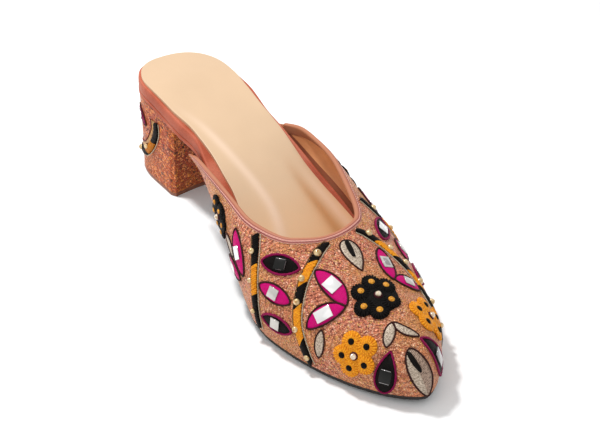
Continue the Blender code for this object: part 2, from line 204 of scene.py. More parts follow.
def ridge_height(x):
    v = np.clip((np.asarray(x, float) - NOSE_X) / (SHOE_LENGTH - NOSE_X), 0, 1)
    return (smooth(x, LAST, "ridge") - board_bottom(x)) * (1 - v ** NOSE_POWER) ** NOSE_SHARPNESS


def ridge_normal(x):
    low, high = np.clip(x - NUDGE, 0, SHOE_LENGTH), np.clip(x + NUDGE, 0, SHOE_LENGTH)
    slope = (ridge_height(high) + board_bottom(high) - ridge_height(low) - board_bottom(low)) / (high - low)
    length = np.sqrt(1 + slope * slope)
    return -slope / length, 1 / length


def vamp_point(x, angle, inset):
    """Point on the last at station x; the angle runs from 0 at the inner edge to 180 at the outer edge."""
    x = np.asarray(x, float)
    angle = np.asarray(angle, float)
    side = np.where(angle > 90.0, 1.0, -1.0)
    turn = np.radians(np.minimum(angle, 180.0 - angle))
    power = sided(x, side, LAST, "_power")
    fullness = sided(x, side, LAST, "_bulge") * FULLNESS_PEAK
    out = np.clip(np.cos(turn), 0, 1) ** (2 / power)
    up = np.clip(np.sin(turn), 0, 1) ** (2 / power)
    nx, ny = edge_normal(x, side)
    rx, rz = ridge_normal(x)
    wide = (half_width(x, side) - inset * ny) * out + fullness * up * (1 - up) ** 2
    lean = smooth(x, LAST, "lean") * up * end_closure(x)
    px = x - inset * (nx * out ** 2 + rx * up ** 2)
    py = centre_line(x) + side * wide + lean
    pz = board_bottom(x) + (ridge_height(x) - inset * rz) * up
    return np.stack([px, py, pz], axis=-1)


def topline_x(angle):
    return monotone(angle, TOPLINE["angle"], TOPLINE["x"])


# ---------------------------------------------------------------- meshes

def to_row(points):
    return (np.asarray(points, float) - np.array([FRAME_X, FRAME_Y, 0.0])) * MM


def make_piece(name, points, faces, materials, slot, uv=None, kinds=None, replaces=(), sharp=None):
    """One named piece from points in millimetres; kinds gives each face's material number."""
    mesh = bpy.data.meshes.new(name)
    mesh.from_pydata([tuple(p) for p in to_row(points)], [], [tuple(f) for f in faces])
    for material in materials:
        mesh.materials.append(material)
    if kinds is not None:
        mesh.polygons.foreach_set("material_index", np.asarray(kinds, np.int32))
    if uv is not None:
        layer = mesh.uv_layers.new(name="stitch")
        loops = np.zeros(len(mesh.loops), np.int32)
        mesh.loops.foreach_get("vertex_index", loops)
        layer.data.foreach_set("uv", np.asarray(uv, np.float32)[loops].ravel())
    mesh.validate()
    mesh.shade_smooth()
    if sharp:
        mesh.set_sharp_from_angle(angle=math.radians(sharp))
    piece = bpy.data.objects.new(name, mesh)
    bpy.context.scene.collection.objects.link(piece)
    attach(piece, "root")
    if replaces:
        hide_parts(*replaces)
    return piece


class Heap:
    """Many small forms gathered into one mesh."""

    def __init__(self):
        self.points, self.faces, self.uv, self.kinds, self.count = [], [], [], [], 0

    def add(self, points, faces, uv=None, kind=0):
        points = np.asarray(points, float).reshape(-1, 3)
        self.points.append(points)
        self.uv.append(np.zeros((len(points), 2)) if uv is None else np.asarray(uv, float).reshape(-1, 2))
        self.faces.extend(tuple(self.count + i for i in f) for f in faces)
        self.kinds.extend([kind] * len(faces))
        self.count += len(points)

    def piece(self, name, materials, slot, **extra):
        return make_piece(name, np.concatenate(self.points), self.faces, materials, slot,
                          uv=np.concatenate(self.uv), kinds=self.kinds, **extra)


def grid_faces(rows, columns, close_rows=False, close_columns=False):
    """Quads of a grid of points, closed round on itself where asked."""
    faces = []
    for i in range(rows if close_rows else rows - 1):
        for j in range(columns if close_columns else columns - 1):
            k, m = (i + 1) % rows, (j + 1) % columns
            faces.append((i * columns + j, i * columns + m, k * columns + m, k * columns + j))
    return faces


def loft_faces(rows, columns):
    """Quads round a loft of closed rings, turned to face outward, and a cap on each end."""
    last = (rows - 1) * columns
    caps = [tuple(range(columns)), tuple(last + j for j in range(columns))[::-1]]
    return [f[::-1] for f in grid_faces(rows, columns, False, True)] + caps


def dome(share):
    """Height of a half round over its share from the middle, 0, to the rim, 1."""
    return np.sqrt(np.clip(1 - share ** 2, 0, 1))


def run_length(path):
    """Distance from the start of a path to each of its points."""
    return np.concatenate([[0], np.cumsum(np.linalg.norm(np.diff(path, axis=0), axis=1))])


def tube(path, radius, sides=8, closed=False, knots=0.0, pitch=1.0, normals=None):
    """Cord along a path; knots swell it at each pitch like a chain stitch."""
    path = np.asarray(path, float)
    n = len(path)
    if closed:
        ahead, behind = np.roll(path, -1, 0), np.roll(path, 1, 0)
    else:
        ahead, behind = np.vstack([path[1:], path[-1:]]), np.vstack([path[:1], path[:-1]])
    along = ahead - behind
    along /= np.maximum(np.linalg.norm(along, axis=1, keepdims=True), 1e-9)
    ref = np.tile([0.0, 0.0, 1.0], (n, 1)) if normals is None else np.asarray(normals, float)
    side = np.cross(along, ref)
    side /= np.maximum(np.linalg.norm(side, axis=1, keepdims=True), 1e-9)
    up = np.cross(side, along)
    run = run_length(path)
    swell = radius * (1 + knots * np.cos(2 * np.pi * run / pitch))
    turn = np.linspace(0, 2 * np.pi, sides, endpoint=False)
    ring = side[:, None] * np.cos(turn)[None, :, None] + up[:, None] * np.sin(turn)[None, :, None]
    points = path[:, None] + ring * swell[:, None, None]
    uv = np.stack(np.broadcast_arrays(run[:, None], turn[None, :] * radius), axis=-1)
    faces = grid_faces(n, sides, closed, True)
    if not closed:
        faces += [tuple(range(sides))[::-1], tuple((n - 1) * sides + j for j in range(sides))]
    return points.reshape(-1, 3), faces, uv.reshape(-1, 2)


def ball(centre, radius, normal=(0, 0, 1), squash=1.0, rings=7, sides=12):
    """Bead or knot, squashed along its normal."""
    normal = Vector(normal).normalized()
    turn = normal.to_track_quat("Z", "Y").to_matrix()
    points = [(0, 0, -radius * squash)]
    for i in range(1, rings):
        lat = -math.pi / 2 + math.pi * i / rings
        for j in range(sides):
            lon = 2 * math.pi * j / sides
            points.append((radius * math.cos(lat) * math.cos(lon), radius * math.cos(lat) * math.sin(lon),
                           radius * squash * math.sin(lat)))
    points.append((0, 0, radius * squash))
    faces = [(0, 1 + (j + 1) % sides, 1 + j) for j in range(sides)]
    for i in range(rings - 2):
        for j in range(sides):
            a, b = 1 + i * sides + j, 1 + i * sides + (j + 1) % sides
            faces.append((a, b, b + sides, a + sides))
    top, last = len(points) - 1, 1 + (rings - 2) * sides
    faces += [(last + j, last + (j + 1) % sides, top) for j in range(sides)]
    points = np.array([turn @ Vector(p) for p in points]) + np.asarray(centre, float)
    return points, faces


def resample(points, step):
    """Even points along a Catmull-Rom curve through the given ones."""
    p = np.asarray(points, float)
    p = np.vstack([2 * p[0] - p[1], p, 2 * p[-1] - p[-2]])
    out = []
    for i in range(1, len(p) - 2):
        for t in np.linspace(0, 1, 24, endpoint=False):
            out.append(0.5 * (2 * p[i] + (p[i + 1] - p[i - 1]) * t
                              + (2 * p[i - 1] - 5 * p[i] + 4 * p[i + 1] - p[i + 2]) * t * t
                              + (3 * p[i] - p[i - 1] - 3 * p[i + 1] + p[i + 2]) * t ** 3))
    out.append(p[-2])
    out = np.array(out)
    run = run_length(out)
    count = max(3, int(round(run[-1] / step)) + 1)
    at = np.linspace(0, run[-1], count)
    return np.stack([np.interp(at, run, out[:, k]) for k in range(out.shape[1])], axis=1)


# ---------------------------------------------------------------- materials

def shader_material(name, colour, roughness, metallic=0.0, **sockets):
    material = bpy.data.materials.new(name)
    material.use_nodes = True
    material.diffuse_color = (*colour, 1.0)
    shader = material.node_tree.nodes["Principled BSDF"]
    shader.inputs["Base Color"].default_value = (*colour, 1.0)
    shader.inputs["Roughness"].default_value = roughness
    shader.inputs["Metallic"].default_value = metallic
    for key, value in sockets.items():
        shader.inputs[key.replace("_", " ")].default_value = value
    return material, shader


ONE, NIL = (1, 1, 1), (0, 0, 0)


def grey(value):
    return (value, value, value)


class Nodes:
    """Short names for building one material's nodes."""

    def __init__(self, material):
        self.tree = material.node_tree

    def add(self, kind, **values):
        node = self.tree.nodes.new(kind)
        for key, value in values.items():
            if key in node.inputs:
                node.inputs[key].default_value = value
            else:
                setattr(node, key, value)
        return node

    def link(self, a, b):
        self.tree.links.new(a, b)

    def ramp(self, source, stops):
        node = self.tree.nodes.new("ShaderNodeValToRGB")
        elements = node.color_ramp.elements
        while len(elements) > 1:
            elements.remove(elements[-1])
        elements[0].position, elements[0].color = stops[0][0], (*stops[0][1], 1)
        for position, colour in stops[1:]:
            element = elements.new(position)
            element.color = (*colour, 1)
        self.link(source, node.inputs["Fac"])
        return node.outputs["Color"]

    def math(self, operation, a, b, c=0.5):
        node = self.add("ShaderNodeMath", operation=operation)
        for k, value in enumerate((a, b, c)):
            if hasattr(value, "links"):
                self.link(value, node.inputs[k])
            else:
                node.inputs[k].default_value = value
        return node.outputs[0]

    def mix(self, factor, a, b, blend="MIX"):
        node = self.add("ShaderNodeMix", data_type="RGBA", blend_type=blend)
        for socket, value in ((node.inputs[0], factor), (node.inputs[6], a), (node.inputs[7], b)):
            if hasattr(value, "links"):
                self.link(value, socket)
            elif isinstance(value, tuple):
                socket.default_value = (*value, 1)
            else:
                socket.default_value = value
        return node.outputs[2]

    def coords(self, scale=(1, 1, 1), source="Object"):
        place = self.add("ShaderNodeTexCoord")
        mapping = self.add("ShaderNodeMapping")
        mapping.inputs["Scale"].default_value = scale
        self.link(place.outputs[source], mapping.inputs["Vector"])
        return mapping.outputs["Vector"]

    def noise(self, vector, scale, detail=2.0, rough=0.5):
        node = self.add("ShaderNodeTexNoise", Scale=scale, Detail=detail, Roughness=rough)
        self.link(vector, node.inputs["Vector"])
        return node

    def cells(self, vector, scale, feature="F1"):
        node = self.add("ShaderNodeTexVoronoi", Scale=scale, feature=feature)
        self.link(vector, node.inputs["Vector"])
        return node

    def split(self, vector):
        node = self.add("ShaderNodeSeparateXYZ")
        self.link(vector, node.inputs[0])
        return node.outputs

    def pored(self, shader, place, low, high, pore_bump, spread_bump):
        """Faint pores, over a roughness that drifts from low to high."""
        pores = self.cells(place, 1300.0)
        spread = self.noise(place, 90.0, 2.0).outputs["Fac"]
        self.link(self.ramp(spread, [(0.3, grey(low)), (0.7, grey(high))]), shader.inputs["Roughness"])
        self.bump(shader, [(pores.outputs["Distance"], pore_bump, 0.0002), (spread, spread_bump, 0.0006)])

    def warp(self, vector, scale, amount):
        """The vector moved about by a noise."""
        noise = self.noise(vector, scale, 1.0)
        centred = self.add("ShaderNodeVectorMath", operation="SUBTRACT")
        self.link(noise.outputs["Color"], centred.inputs[0])
        centred.inputs[1].default_value = (0.5, 0.5, 0.5)
        scaled = self.add("ShaderNodeVectorMath", operation="SCALE", Scale=amount)
        self.link(centred.outputs[0], scaled.inputs[0])
        moved = self.add("ShaderNodeVectorMath", operation="ADD")
        self.link(vector, moved.inputs[0])
        self.link(scaled.outputs[0], moved.inputs[1])
        return moved.outputs[0]

    def bump(self, shader, heights):
        """Stack bumps of (height, strength, distance) onto the shader."""
        previous = None
        for height, strength, distance in heights:
            node = self.add("ShaderNodeBump", Strength=strength, Distance=distance)
            self.link(height, node.inputs["Height"])
            if previous:
                self.link(previous, node.inputs["Normal"])
            previous = node.outputs["Normal"]
        self.link(previous, shader.inputs["Normal"])


def thread_ground(name, deep, base, pale, gold, grain=1200.0, gold_ends=(), row_depth=0.6):
    """Dense metallic thread couched in tiny loops, seen as grains of changing tint with dark gaps."""
    material, shader = shader_material(name, base, 0.45, 0.2)
    n = Nodes(material)
    place = n.coords()
    worm = n.warp(place, 560.0, 0.0017)
    cells = n.cells(worm, grain)
    edges = n.cells(worm, grain, "DISTANCE_TO_EDGE")
    tint = n.add("ShaderNodeSeparateColor")
    n.link(cells.outputs["Color"], tint.inputs[0])
    stops = [(0.0, deep), (0.2, base), (0.58, base), (0.8, pale), (0.92, gold), (1.0, pale)]
    grainy = n.ramp(tint.outputs[0], stops)
    shift = n.ramp(n.noise(place, 42.0, 2.0).outputs["Fac"], [(0.42, NIL), (0.68, grey(0.8))])
    if gold_ends:
        ends = n.ramp(n.math("MULTIPLY_ADD", n.split(place)[0], 4.0), gold_ends)
        shift = n.mix(1.0, shift, ends, "ADD")
    colour = n.mix(shift, grainy, n.mix(0.6, grainy, gold))
    gaps = n.ramp(edges.outputs["Distance"], [(0.0, (0.30, 0.16, 0.12)), (0.13, ONE)])
    colour = n.mix(1.0, colour, gaps, "MULTIPLY")
    curl = n.math("ABSOLUTE", n.math("SUBTRACT", n.noise(place, 620.0, 0.0).outputs["Fac"], 0.5), 0.0)
    grooves = n.ramp(curl, [(0.0, (0.26, 0.14, 0.11)), (0.035, ONE)])
    colour = n.mix(0.7, colour, grooves, "MULTIPLY")
    rows = n.add("ShaderNodeTexWave", bands_direction="DIAGONAL", Scale=430.0, Distortion=9.0, Detail=1.0)
    rows.inputs["Detail Scale"].default_value = 0.35
    n.link(n.coords((1, -1, 0.6)), rows.inputs["Vector"])
    stops = [(0.0, (0.50, 0.30, 0.25)), (0.35, ONE), (1.0, (1.12, 1.10, 1.08))]
    colour = n.mix(row_depth, colour, n.ramp(rows.outputs["Fac"], stops), "MULTIPLY")
    n.link(colour, shader.inputs["Base Color"])
    n.link(n.ramp(tint.outputs[1], [(0.0, grey(0.30)), (1.0, grey(0.62))]), shader.inputs["Roughness"])
    bulge = n.ramp(cells.outputs["Distance"], [(0.0, ONE), (0.75, NIL)])
    n.bump(shader, [(bulge, 1.0, 0.0006), (rows.outputs["Fac"], 0.5 * row_depth, 0.0006)])
    return material


def satin(name, dark, light, pitch=0.55, roughness=0.45, metallic=0.0, specular=0.3, mottle=0.45,
          spot=(6, 1.6, 1), low=0.28):
    """Satin stitch: fine threads side by side across the stitch map's length."""
    material, shader = shader_material(name, light, roughness, metallic, Specular_IOR_Level=specular)
    n = Nodes(material)
    wave = n.add("ShaderNodeTexWave", Scale=1.0 / pitch * 0.314, Distortion=1.4, Detail=2.0)
    wave.inputs["Detail Scale"].default_value = 1.6
    n.link(n.coords((1, 0.25, 1), "UV"), wave.inputs["Vector"])
    fibre = n.math("MULTIPLY", n.noise(n.coords(spot, "UV"), 1.0, 3.0, 0.7).outputs["Fac"], mottle)
    both = n.math("ADD", n.math("MULTIPLY", wave.outputs["Fac"], 1 - mottle), fibre)
    n.link(n.ramp(both, [(low, dark), (0.60, light)]), shader.inputs["Base Color"])
    n.bump(shader, [(both, 0.8, 0.0003)])
    return material


def knotted(name, dark, light, grain=1500.0, roughness=0.5, specular=0.3):
    """Looped thread of flower lobes and knots, in object space."""
    material, shader = shader_material(name, light, roughness, 0.0, Specular_IOR_Level=specular)
    n = Nodes(material)
    loops = n.cells(n.warp(n.coords(), 600.0, 0.0012), grain).outputs["Distance"]
    n.link(n.ramp(loops, [(0.1, light), (0.7, dark)]), shader.inputs["Base Color"])
    n.bump(shader, [(n.ramp(loops, [(0.0, ONE), (0.7, NIL)]), 0.6, 0.0004)])
    return material


def metallic_leather(name, deep, base, pale, roughness):
    """Foiled leather with a fine grain."""
    material, shader = shader_material(name, base, roughness, 0.0, Specular_IOR_Level=0.12)
    n = Nodes(material)
    place = n.coords()
    grain = n.cells(n.warp(place, 900.0, 0.0008), 1500.0, "DISTANCE_TO_EDGE").outputs["Distance"]
    cloud = n.noise(place, 60.0, 4.0).outputs["Fac"]
    colour = n.ramp(cloud, [(0.3, deep), (0.5, base), (0.72, pale)])
    pores = n.ramp(grain, [(0.0, grey(0.72)), (0.12, ONE)])
    n.link(n.mix(1.0, colour, pores, "MULTIPLY"), shader.inputs["Base Color"])
    n.bump(shader, [(grain, 0.25, 0.0003), (cloud, 0.2, 0.0008)])
    return material


def folded_leather(name, base, stops, roughness):
    """Foiled leather whose tint changes across the fold, from its lower edge at 0 to the inner face at 1."""
    material, shader = shader_material(name, base, roughness, 0.0, Specular_IOR_Level=0.3)
    n = Nodes(material)
    across = n.split(n.coords(source="UV"))[1]
    spot = n.coords()
    cloud = n.noise(spot, 240.0, 3.0).outputs["Fac"]
    moved = n.math("MULTIPLY_ADD", n.math("SUBTRACT", cloud, 0.5), 0.05, across)
    n.link(n.ramp(moved, stops), shader.inputs["Base Color"])
    n.bump(shader, [(n.cells(spot, 1500.0).outputs["Distance"], 0.3, 0.0002), (cloud, 0.3, 0.0005)])
    return material


def worn_sock(name, base, fore, pale, brown, roughness):
    """Footbed leather, warmer and painted lighter toward the toe against the lamp's falloff; pale painted
    highlight by the map's u and brown painted shade by its v.
    """
    material, shader = shader_material(name, base, roughness, 0.0, Coat_Weight=0.2, Coat_Roughness=0.32)
    n = Nodes(material)
    spot = n.coords()
    painted_light_map = n.split(n.coords(source="UV"))
    cloud = n.noise(spot, 24.0, 4.0).outputs["Fac"]
    colour = n.ramp(cloud, [(0.3, tuple(0.95 * c for c in base)), (0.7, tuple(1.04 * c for c in base))])
    # painted light: the sock turns to the toe colour toward the toe, lighter there to make up for the key
    # lamp's falloff
    warm = n.math("MULTIPLY_ADD", n.split(spot)[0], 25.0, 0.4)
    colour = n.mix(n.ramp(warm, [(0.0, NIL), (1.0, ONE)]), colour, fore)
    # the map's u lays on the pale painted highlight and its v the brown painted shade
    colour = n.mix(n.math("MULTIPLY", painted_light_map[0], 0.75), colour, pale)
    colour = n.mix(n.math("MULTIPLY", painted_light_map[1], 0.85), colour, brown)
    n.link(colour, shader.inputs["Base Color"])
    n.pored(shader, spot, roughness - 0.05, roughness + 0.07, 0.06, 0.08)
    return material


def smooth_leather(name, dark, base, pale, roughness):
    """Soft lining leather with faint pores and clouds."""
    material, shader = shader_material(name, base, roughness, 0.0, Coat_Weight=0.2, Coat_Roughness=0.3)
    n = Nodes(material)
    place = n.coords()
    cloud = n.noise(place, 22.0, 4.0).outputs["Fac"]
    n.link(n.ramp(cloud, [(0.3, dark), (0.5, base), (0.75, pale)]), shader.inputs["Base Color"])
    n.pored(shader, place, roughness - 0.06, roughness + 0.08, 0.12, 0.1)
    return material


def moulded(name, dark, base, roughness):
    """Moulded rubber or plastic with a faint texture and scuffs."""
    material, shader = shader_material(name, base, roughness)
    n = Nodes(material)
    specks = n.noise(n.coords((1, 1, 4)), 420.0, 3.0).outputs["Fac"]
    n.link(n.ramp(specks, [(0.3, dark), (0.7, base)]), shader.inputs["Base Color"])
    n.bump(shader, [(specks, 0.2, 0.0003)])
    return material


def mirror_glass(name, colour, roughness, metallic, coat=0.6, specular=0.5):
    """Small foiled mirror with a slightly uneven face."""
    material, shader = shader_material(name, colour, roughness, metallic, Coat_Weight=coat,
                                       Coat_Roughness=0.05, Specular_IOR_Level=specular)
    n = Nodes(material)
    cloud = n.noise(n.coords(), 260.0, 2.0).outputs["Fac"]
    n.link(n.mix(cloud, tuple(0.86 * c for c in colour), colour), shader.inputs["Base Color"])
    n.bump(shader, [(cloud, 0.12, 0.0006)])
    return material


def bead_glass(name, dark, base, roughness=0.16, metallic=0.3):
    material, shader = shader_material(name, base, roughness, metallic, Coat_Weight=0.8, Coat_Roughness=0.06)
    n = Nodes(material)
    cloud = n.noise(n.coords(), 700.0, 2.0).outputs["Fac"]
    n.link(n.ramp(cloud, [(0.35, dark), (0.62, base)]), shader.inputs["Base Color"])
    n.bump(shader, [(cloud, 0.15, 0.0004)])
    return material


JET = ((0.001, 0.001, 0.001), (0.008, 0.005, 0.004))
FOIL = {"mottle": 0.85, "spot": (1.3, 1.1, 1), "low": 0.36}
GROUND = thread_ground("rose_gold_thread_ground", (0.24, 0.040, 0.022), (0.84, 0.285, 0.155),
                       (1.0, 0.58, 0.42), (0.80, 0.42, 0.08),
                       gold_ends=[(0.0, grey(0.45)), (0.40, NIL), (0.86, NIL), (1.0, grey(0.35))])
HEEL_CLOTH = thread_ground("copper_thread_ground", (0.05, 0.004, 0.001), (0.54, 0.076, 0.013),
                           (0.98, 0.33, 0.115), (0.80, 0.25, 0.02), grain=850.0, row_depth=0.4)
LINING = smooth_leather("tan_lining", (0.62, 0.25, 0.10), (0.86, 0.41, 0.18), (0.92, 0.49, 0.26), 0.5)
# darker lining: painted shade on the lining's lower part, deep in the wing
SHADED_LINING = smooth_leather("lining_painted_shade", (0.22, 0.065, 0.030), (0.33, 0.105, 0.048),
                        (0.40, 0.14, 0.07), 0.6)
# base, toe colour painted lighter, pale painted highlight, brown painted shade
SOCK = worn_sock("cream_sock", (0.577, 0.402, 0.252), (0.70, 0.44, 0.235), (0.72, 0.53, 0.39),
                 (0.46, 0.225, 0.085), 0.38)
ROSE = metallic_leather("rose_metallic_leather", (0.37, 0.078, 0.040), (0.45, 0.108, 0.058),
                        (0.55, 0.175, 0.108), 0.5)
# across the fold: the dark stops are painted shade in the groove and where the strip meets the roll; the pale
# stops between are a painted highlight
BINDING = folded_leather("rose_binding_leather", (0.70, 0.33, 0.27), [
    (0.0, (0.60, 0.25, 0.17)), (0.035, (0.56, 0.22, 0.16)), (0.048, (0.22, 0.04, 0.04)),
    (0.085, (0.22, 0.04, 0.04)), (0.10, (0.72, 0.36, 0.30)), (0.16, (0.70, 0.33, 0.27)),
    (0.18, (0.28, 0.07, 0.05)), (0.205, (0.30, 0.085, 0.055)), (0.235, (0.44, 0.17, 0.10)),
    (0.40, (0.42, 0.165, 0.088)), (0.62, (0.41, 0.17, 0.085)), (0.9, (0.38, 0.14, 0.07))], 0.6)
SOLE = moulded("dark_sole", (0.003, 0.002, 0.002), (0.012, 0.007, 0.005), 0.6)
TIP = moulded("copper_brown_tip", (0.13, 0.035, 0.014), (0.30, 0.10, 0.045), 0.42)
PIPING = satin("pale_rose_piping", (0.50, 0.20, 0.16), (0.90, 0.58, 0.47), 0.7, 0.34, 0.2)

# each store's material, and its label in the names of the pieces
STORE_MATERIALS = {
    "MAGENTA": (satin("magenta_thread", (0.34, 0.001, 0.085), (0.72, 0.002, 0.200), specular=0.1),
                "magenta_satin"),
    "BLACK": (satin("black_thread", *JET, specular=0.08), "black_satin"),
    # the orange thread darkened for the heel: painted shade
    "AMBER": (satin("orange_thread_painted_shade", (0.30, 0.08, 0.001), (0.70, 0.235, 0.005), specular=0.15), "orange_satin_painted_shade"),
    "SILVER": (satin("silver_thread", (0.14, 0.095, 0.060), (0.66, 0.545, 0.43), 0.7, 0.4, 0.2, **FOIL),
               "silver_satin"),
    "EDGE": (satin("dark_edge_thread", (0.010, 0.002, 0.001), (0.055, 0.010, 0.007), 0.6, specular=0.15),
             "dark_outlines"),
    "CORD": (satin("pale_gold_cord", (0.22, 0.16, 0.09), (0.66, 0.56, 0.42), 0.7, 0.34, 0.3), "pale_cords"),
    # the mirrors are one glass; the white, grey, soft and dark tints of the four are painted reflections
    "MIRROR": (mirror_glass("painted_bright_reflection_mirror", (0.95, 0.94, 0.93), 0.16, 0.55), "bright_mirrors"),
    "MIRROR_GREY": (mirror_glass("painted_grey_reflection_mirror", (0.34, 0.32, 0.32), 0.18, 0.5), "grey_mirrors"),
    "MIRROR_SOFT": (mirror_glass("painted_soft_reflection_mirror", (0.60, 0.58, 0.54), 0.2, 0.4, 0.3), "soft_mirrors"),
    "MIRROR_DARK": (mirror_glass("painted_dark_reflection_mirror", (0.012, 0.012, 0.011), 0.3, 0.0, 0.05, 0.14), "dark_mirrors"),
    "BEAD": (bead_glass("champagne_bead", (0.42, 0.26, 0.08), (0.80, 0.60, 0.33)), "champagne_beads"),
    "CRYSTAL": (bead_glass("pale_crystal", (0.55, 0.40, 0.24), (0.90, 0.78, 0.62), 0.08, 0.4),
                "crystal_beads"),
    "BLACK_KNOT": (knotted("black_loops", *JET, specular=0.08), "black_flower_loops"),
    "ORANGE_KNOT": (knotted("orange_loops", (0.70, 0.22, 0.003), (1.0, 0.44, 0.012), specular=0.2),
                    "orange_flower_loops"),
    "YELLOW_KNOT": (knotted("yellow_knots", (0.45, 0.16, 0.004), (0.88, 0.42, 0.03), 1100.0, 0.35),
                    "yellow_knots"),
    "MAROON": (satin("maroon_thread", (0.05, 0.002, 0.008), (0.20, 0.018, 0.03), 0.6, specular=0.2),
               "maroon_thread_rings"),
    "MAGENTA_CORD": (satin("dark_magenta_thread", (0.08, 0.001, 0.02), (0.34, 0.003, 0.085), specular=0.12),
                     "magenta_outlines"),
    "CORD_SOFT": (satin("dull_gold_cord", (0.12, 0.06, 0.02), (0.36, 0.20, 0.09), 0.7, 0.4, 0.4),
                  "dull_cords"),
    "GOLD": (knotted("gold_couching", (0.30, 0.11, 0.02), (0.78, 0.42, 0.13), 1200.0, 0.4), "gold_couching"),
    "SILVER_DULL": (satin("dull_silver_thread", (0.08, 0.045, 0.03), (0.48, 0.335, 0.25), 0.7, 0.45, 0.1,
                          **FOIL), "dull_silver_satin"),
}


# ---------------------------------------------------------------- main forms

def spread_angles(count, end, power):
    """Section angles from end to 180 - end, closer together toward both."""
    t = np.linspace(-1, 1, count)
    return 90 + (90 - end) * np.sign(t) * (1 - (1 - np.abs(t)) ** power)


def vamp_grid(angles, rows, inset):
    shares = 1 - (1 - np.linspace(0, 1, rows + 1)[:-1]) ** 1.7
    start = topline_x(angles)
    return np.array([vamp_point(start + (SHOE_LENGTH - start) * s, angles, inset) for s in shares])


def make_vamp():
    """Outer cloth and lining as one hollow wall, open at the foot, the back and underneath."""
    columns, rows = VAMP_COLUMNS, VAMP_ROWS
    angles = spread_angles(columns, 0, 1.35)
    outer, inner = vamp_grid(angles, rows, 0.0), vamp_grid(angles, rows, WALL)
    points = list(outer.reshape(-1, 3)) + list(inner.reshape(-1, 3))
    tip = board_bottom(SHOE_LENGTH)
    points += [(SHOE_LENGTH, centre_line(SHOE_LENGTH), tip),
               (SHOE_LENGTH - WALL, centre_line(SHOE_LENGTH), tip)]
    shift = rows * columns
    quads = grid_faces(rows, columns)
    faces = [f[::-1] for f in quads] + [tuple(i + shift for i in f) for f in quads]
    kinds = [0] * len(quads) + [1] * len(quads)
    last = (rows - 1) * columns
    for i, (a, b, *_) in enumerate(quads):
        edge = min(angles[a % columns], 180 - angles[b % columns])
        # lining faces near the lower edge take the darker lining, a painted shade
        if edge < SHADE_BAND_ANGLE and points[a][0] > SHADE_BAND_START:
            kinds[len(quads) + i] = 2
    for j in range(columns - 1):
        faces += [(last + j + 1, last + j, 2 * shift),
                  (shift + last + j, shift + last + j + 1, 2 * shift + 1)]
        faces.append((j, j + 1, shift + j + 1, shift + j))
        kinds += [0, 1, 0]
    for j, flip in ((0, False), (columns - 1, True)):
        line = [i * columns + j for i in range(rows)]
        for a, b in zip(line[:-1], line[1:]):
            quad = (b, a, shift + a, shift + b)
            faces.append(quad[::-1] if flip else quad)
            kinds.append(0)
        quad = (2 * shift, line[-1], shift + line[-1], 2 * shift + 1)
        faces.append(quad[::-1] if flip else quad)
        kinds.append(0)
    make_piece("vamp_cloth_and_lining", points, faces, [GROUND, LINING, SHADED_LINING], "upper", kinds=kinds,
               replaces=["upper"], sharp=60)
    skin = [Vector(p) for p in outer.reshape(-1, 3)] + [Vector(points[2 * shift])]
    return BVHTree.FromPolygons(skin, quads + [(last + j, last + j + 1, shift) for j in range(columns - 1)])


def topline_frame(angle):
    """Station at the topline and how station and angle change per millimetre down the vamp."""
    x = float(topline_x(angle))
    before, after = max(angle - 0.3, 0.0), min(angle + 0.3, 180.0)
    along = vamp_point(topline_x(after), after, 0.0) - vamp_point(topline_x(before), before, 0.0)
    along /= np.linalg.norm(along)
    step_x = (vamp_point(x + 0.2, angle, 0.0) - vamp_point(x - 0.2, angle, 0.0)) / 0.4
    low, high = max(angle - 0.2, 0.0), min(angle + 0.2, 180.0)
    step_angle = (vamp_point(x, high, 0.0) - vamp_point(x, low, 0.0)) / (high - low)
    down = step_x - along * float(step_x @ along)
    down /= np.linalg.norm(down)
    move = np.linalg.lstsq(np.stack([step_x, step_angle], axis=1), down, rcond=None)[0]
    return x, move


def below_topline(angle, distance, inset):
    x, move = topline_frame(angle)
    return vamp_point(x + move[0] * distance, np.clip(angle + move[1] * distance, 0.0, 180.0), inset)


def make_binding():
    """Folded leather over the topline: painted shade in its groove and where it meets the roll, a painted
    highlight strip between them, a darker inner face.
    """
    angles = spread_angles(BINDING_SECTIONS, BINDING_END, 1.25)
    mid, reach = WALL / 2, WALL / 2 + LEATHER
    sections, uv = [], []
    for a in angles:
        fade = float(ease(min(a, 180 - a), 5, 16))
        rise = 0.7 + 0.6 * fade
        profile = [(1.65, -0.1), (1.6, -0.34), (1.4, -0.42), (1.2, -0.32), (1.0, -0.4), (0.8, -0.54),
                   (0.5, -0.62), (0.1, -0.6)]
        for k in np.linspace(0.1, math.pi, 11):
            profile.append((-0.25 - rise * math.sin(k), mid - (reach + 0.16 * math.sin(k)) * math.cos(k)))
        leg = 0.2 + 2.0 * fade if a < 90 else 2.2 + 1.6 * (1 - float(ease(180 - a, 8, 40)))
        profile += [(0.4, WALL + 0.46), (leg, WALL + 0.2), (leg, WALL + 0.05), (-0.25, WALL + 0.05),
                    (-0.25, -0.1)]
        sections.append(below_topline(a, *np.array(profile).T))
        run = np.cumsum([0.0] + [math.dist(p, q) for p, q in zip(profile[:-1], profile[1:])])
        uv.append([(a * 1.1, r / 10) for r in run])
    sections = np.array(sections)
    make_piece("topline_binding_fold", sections.reshape(-1, 3), loft_faces(*sections.shape[:2]), [BINDING],
               "topline_binding", uv=np.array(uv).reshape(-1, 2), replaces=["topline_binding"], sharp=70)
    heap = Heap()
    edge = np.array([below_topline(a, 1.8, -0.1) for a in angles])
    heap.add(*tube(edge, 0.15, 6, knots=0.12, pitch=0.8))
    heap.piece("binding_edge_thread", [PIPING], "topline_binding")
    heap = Heap()
    line = resample(np.array([below_topline(a, 0.62, -0.62) for a in angles]), 0.25)
    for s in range(2, len(line) - 5, 6):
        heap.add(*tube(line[s:s + 4], 0.16, 5))
    heap.piece("binding_stitches", [PIPING], "topline_binding")


